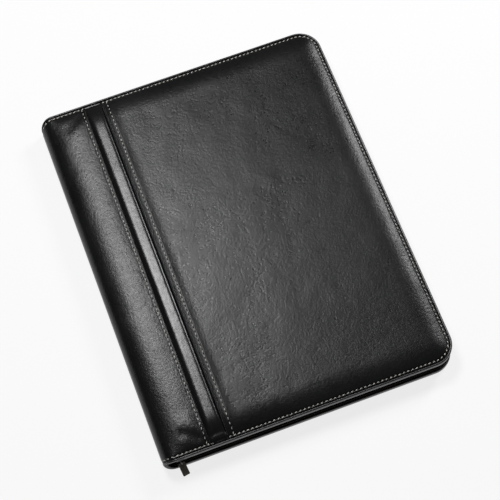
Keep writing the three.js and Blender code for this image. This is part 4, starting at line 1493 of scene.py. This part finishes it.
class FOLDER_OT_kept_parts(bpy.types.Operator):
    """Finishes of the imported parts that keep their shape: pad, boards, padding and zip cords"""
    bl_idname = "writing_folder.kept_parts"
    bl_label = "Kept Parts"

    def execute(self, context):
        stops = [f"{side}_zip_stop_{end}" for side in ("rear", "front") for end in ("tail", "head")]
        kept = {
            grey_board: ["pad_card", "rear_board", "front_board"],
            padding_foam: ["rear_foam", "front_foam", "ridge_padding"],
            ruled_paper: ["pad_sheets"],
            tape_cloth: ["pad_head_tape"],
            zip_teeth: ["rear_zip_chain", "front_zip_chain"],
            dark_metal: stops,
        }
        for finish, names in kept.items():
            for name in names:
                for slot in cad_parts[name].material_slots:
                    slot.material = material_of(finish)
        return {"FINISHED"}


# Studio

class FOLDER_OT_studio(bpy.types.Operator):
    """Floor, lamps, world and camera"""
    bl_idname = "writing_folder.studio"
    bl_label = "Studio"

    def execute(self, context):
        studio = context.scene.folder_studio
        self.floor(studio)
        self.world(context)
        self.lamp("spine_softbox", direction=(-0.13, 0.376, 0.92), distance=1.5, size=(0.40, 0.40), power=15)
        self.lamp("fore_softbox", direction=(0.70, 0.38, 0.60), distance=1.5, size=(0.30, 0.40), power=11)
        self.camera(context, studio)
        context.scene.view_settings.view_transform = "Standard"
        return {"FINISHED"}

    def floor(self, studio):
        clear_selection()
        bpy.ops.mesh.primitive_plane_add(size=studio.floor_size, location=(0, 0, -0.1 * MM))
        floor = named("studio_floor")
        place_in_mesh(floor)
        material = bpy.data.materials.new("studio_floor")
        bench = Bench(material)
        rays = bench.node("ShaderNodeLightPath")
        seen = bench.out(rays, "Is Camera Ray").largest(bench.out(rays, "Is Glossy Ray"))
        seen = seen.largest(bench.out(rays, "Is Transmission Ray"))
        pale = bench.node("ShaderNodeBsdfDiffuse", None, Color=(0.86, 0.86, 0.86))
        white = bench.node("ShaderNodeEmission", None, Color=(1.0, 1.0, 1.0), Strength=1.0)
        share = seen * studio.backdrop_white
        bench.end(bench.node("ShaderNodeMixShader", None, share, bench.out(pale), bench.out(white)))
        floor.data.materials.append(material)

    def world(self, context):
        world = bpy.data.worlds.new("studio")
        context.scene.world = world
        bench = Bench(world)
        direction = bench.out(bench.node("ShaderNodeTexCoord"), "Generated")
        high = bench.parts(direction)[2].kept(0.0, 0.14)
        tone = bench.tinted(high, (0.9, 0.9, 0.9), (0.06, 0.06, 0.062))
        bench.end(bench.node("ShaderNodeBackground", None, tone, 1.0))

    def lamp(self, name, direction, distance, size, power):
        """A softbox that shines on the folder from a direction."""
        direction = Vector(direction).normalized()
        clear_selection()
        bpy.ops.object.light_add(type="AREA", location=direction * distance)
        light = named(name)
        light.data.shape = "RECTANGLE"
        light.data.size = size[0]
        light.data.size_y = size[1]
        light.data.energy = power
        light.rotation_mode = "QUATERNION"
        light.rotation_quaternion = direction.to_track_quat("Z", "Y")
        light.visible_camera = False

    def camera(self, context, studio):
        turn = studio.azimuth
        back = Vector((math.sin(turn), -math.cos(turn), 0)) * math.cos(studio.elevation)
        back.z = math.sin(studio.elevation)
        level = Vector((0, 0, 1)).cross(back).normalized()
        upright = back.cross(level)
        right = math.cos(studio.roll) * level + math.sin(studio.roll) * upright
        up = math.cos(studio.roll) * upright - math.sin(studio.roll) * level
        clear_selection()
        bpy.ops.object.camera_add()
        camera = named("studio_camera")
        camera.data.lens = studio.lens
        camera.data.sensor_width = 36
        camera.data.clip_end = 100
        axes = Matrix((right, up, back)).transposed().to_4x4()
        camera.matrix_world = Matrix.Translation(Vector(studio.aim) + studio.distance * back) @ axes
        context.scene.camera = camera


class FOLDER_PT_panel(bpy.types.Panel):
    """Lists the folder's pieces"""
    bl_label = "Writing Folder"
    bl_idname = "FOLDER_PT_panel"
    bl_space_type = "VIEW_3D"
    bl_region_type = "UI"
    bl_category = "Folder"

    def draw(self, context):
        column = self.layout.column()
        for operator in OPERATORS:
            column.operator(operator.bl_idname)


GROUPS = {"folder_sizes": FolderSizes, "folder_colours": FolderColours, "folder_studio": FolderStudio}
OPERATORS = (
    FOLDER_OT_front_panels,
    FOLDER_OT_ridge,
    FOLDER_OT_spine,
    FOLDER_OT_rear_cover,
    FOLDER_OT_edge_rolls,
    FOLDER_OT_stitching,
    FOLDER_OT_linings,
    FOLDER_OT_stiffeners,
    FOLDER_OT_zip,
    FOLDER_OT_slider,
    FOLDER_OT_pockets,
    FOLDER_OT_pen_loop,
    FOLDER_OT_kept_parts,
    FOLDER_OT_studio,
)


def register():
    for kind in (*GROUPS.values(), *OPERATORS, FOLDER_PT_panel):
        bpy.utils.register_class(kind)
    for name, group in GROUPS.items():
        setattr(bpy.types.Scene, name, PointerProperty(type=group))


def unregister():
    for name in GROUPS:
        delattr(bpy.types.Scene, name)
    for kind in reversed((*GROUPS.values(), *OPERATORS, FOLDER_PT_panel)):
        bpy.utils.unregister_class(kind)


def main():
    register()
    for operator in OPERATORS:
        group, name = operator.bl_idname.split(".")
        getattr(getattr(bpy.ops, group), name)()


if __name__ == "__main__":
    main()
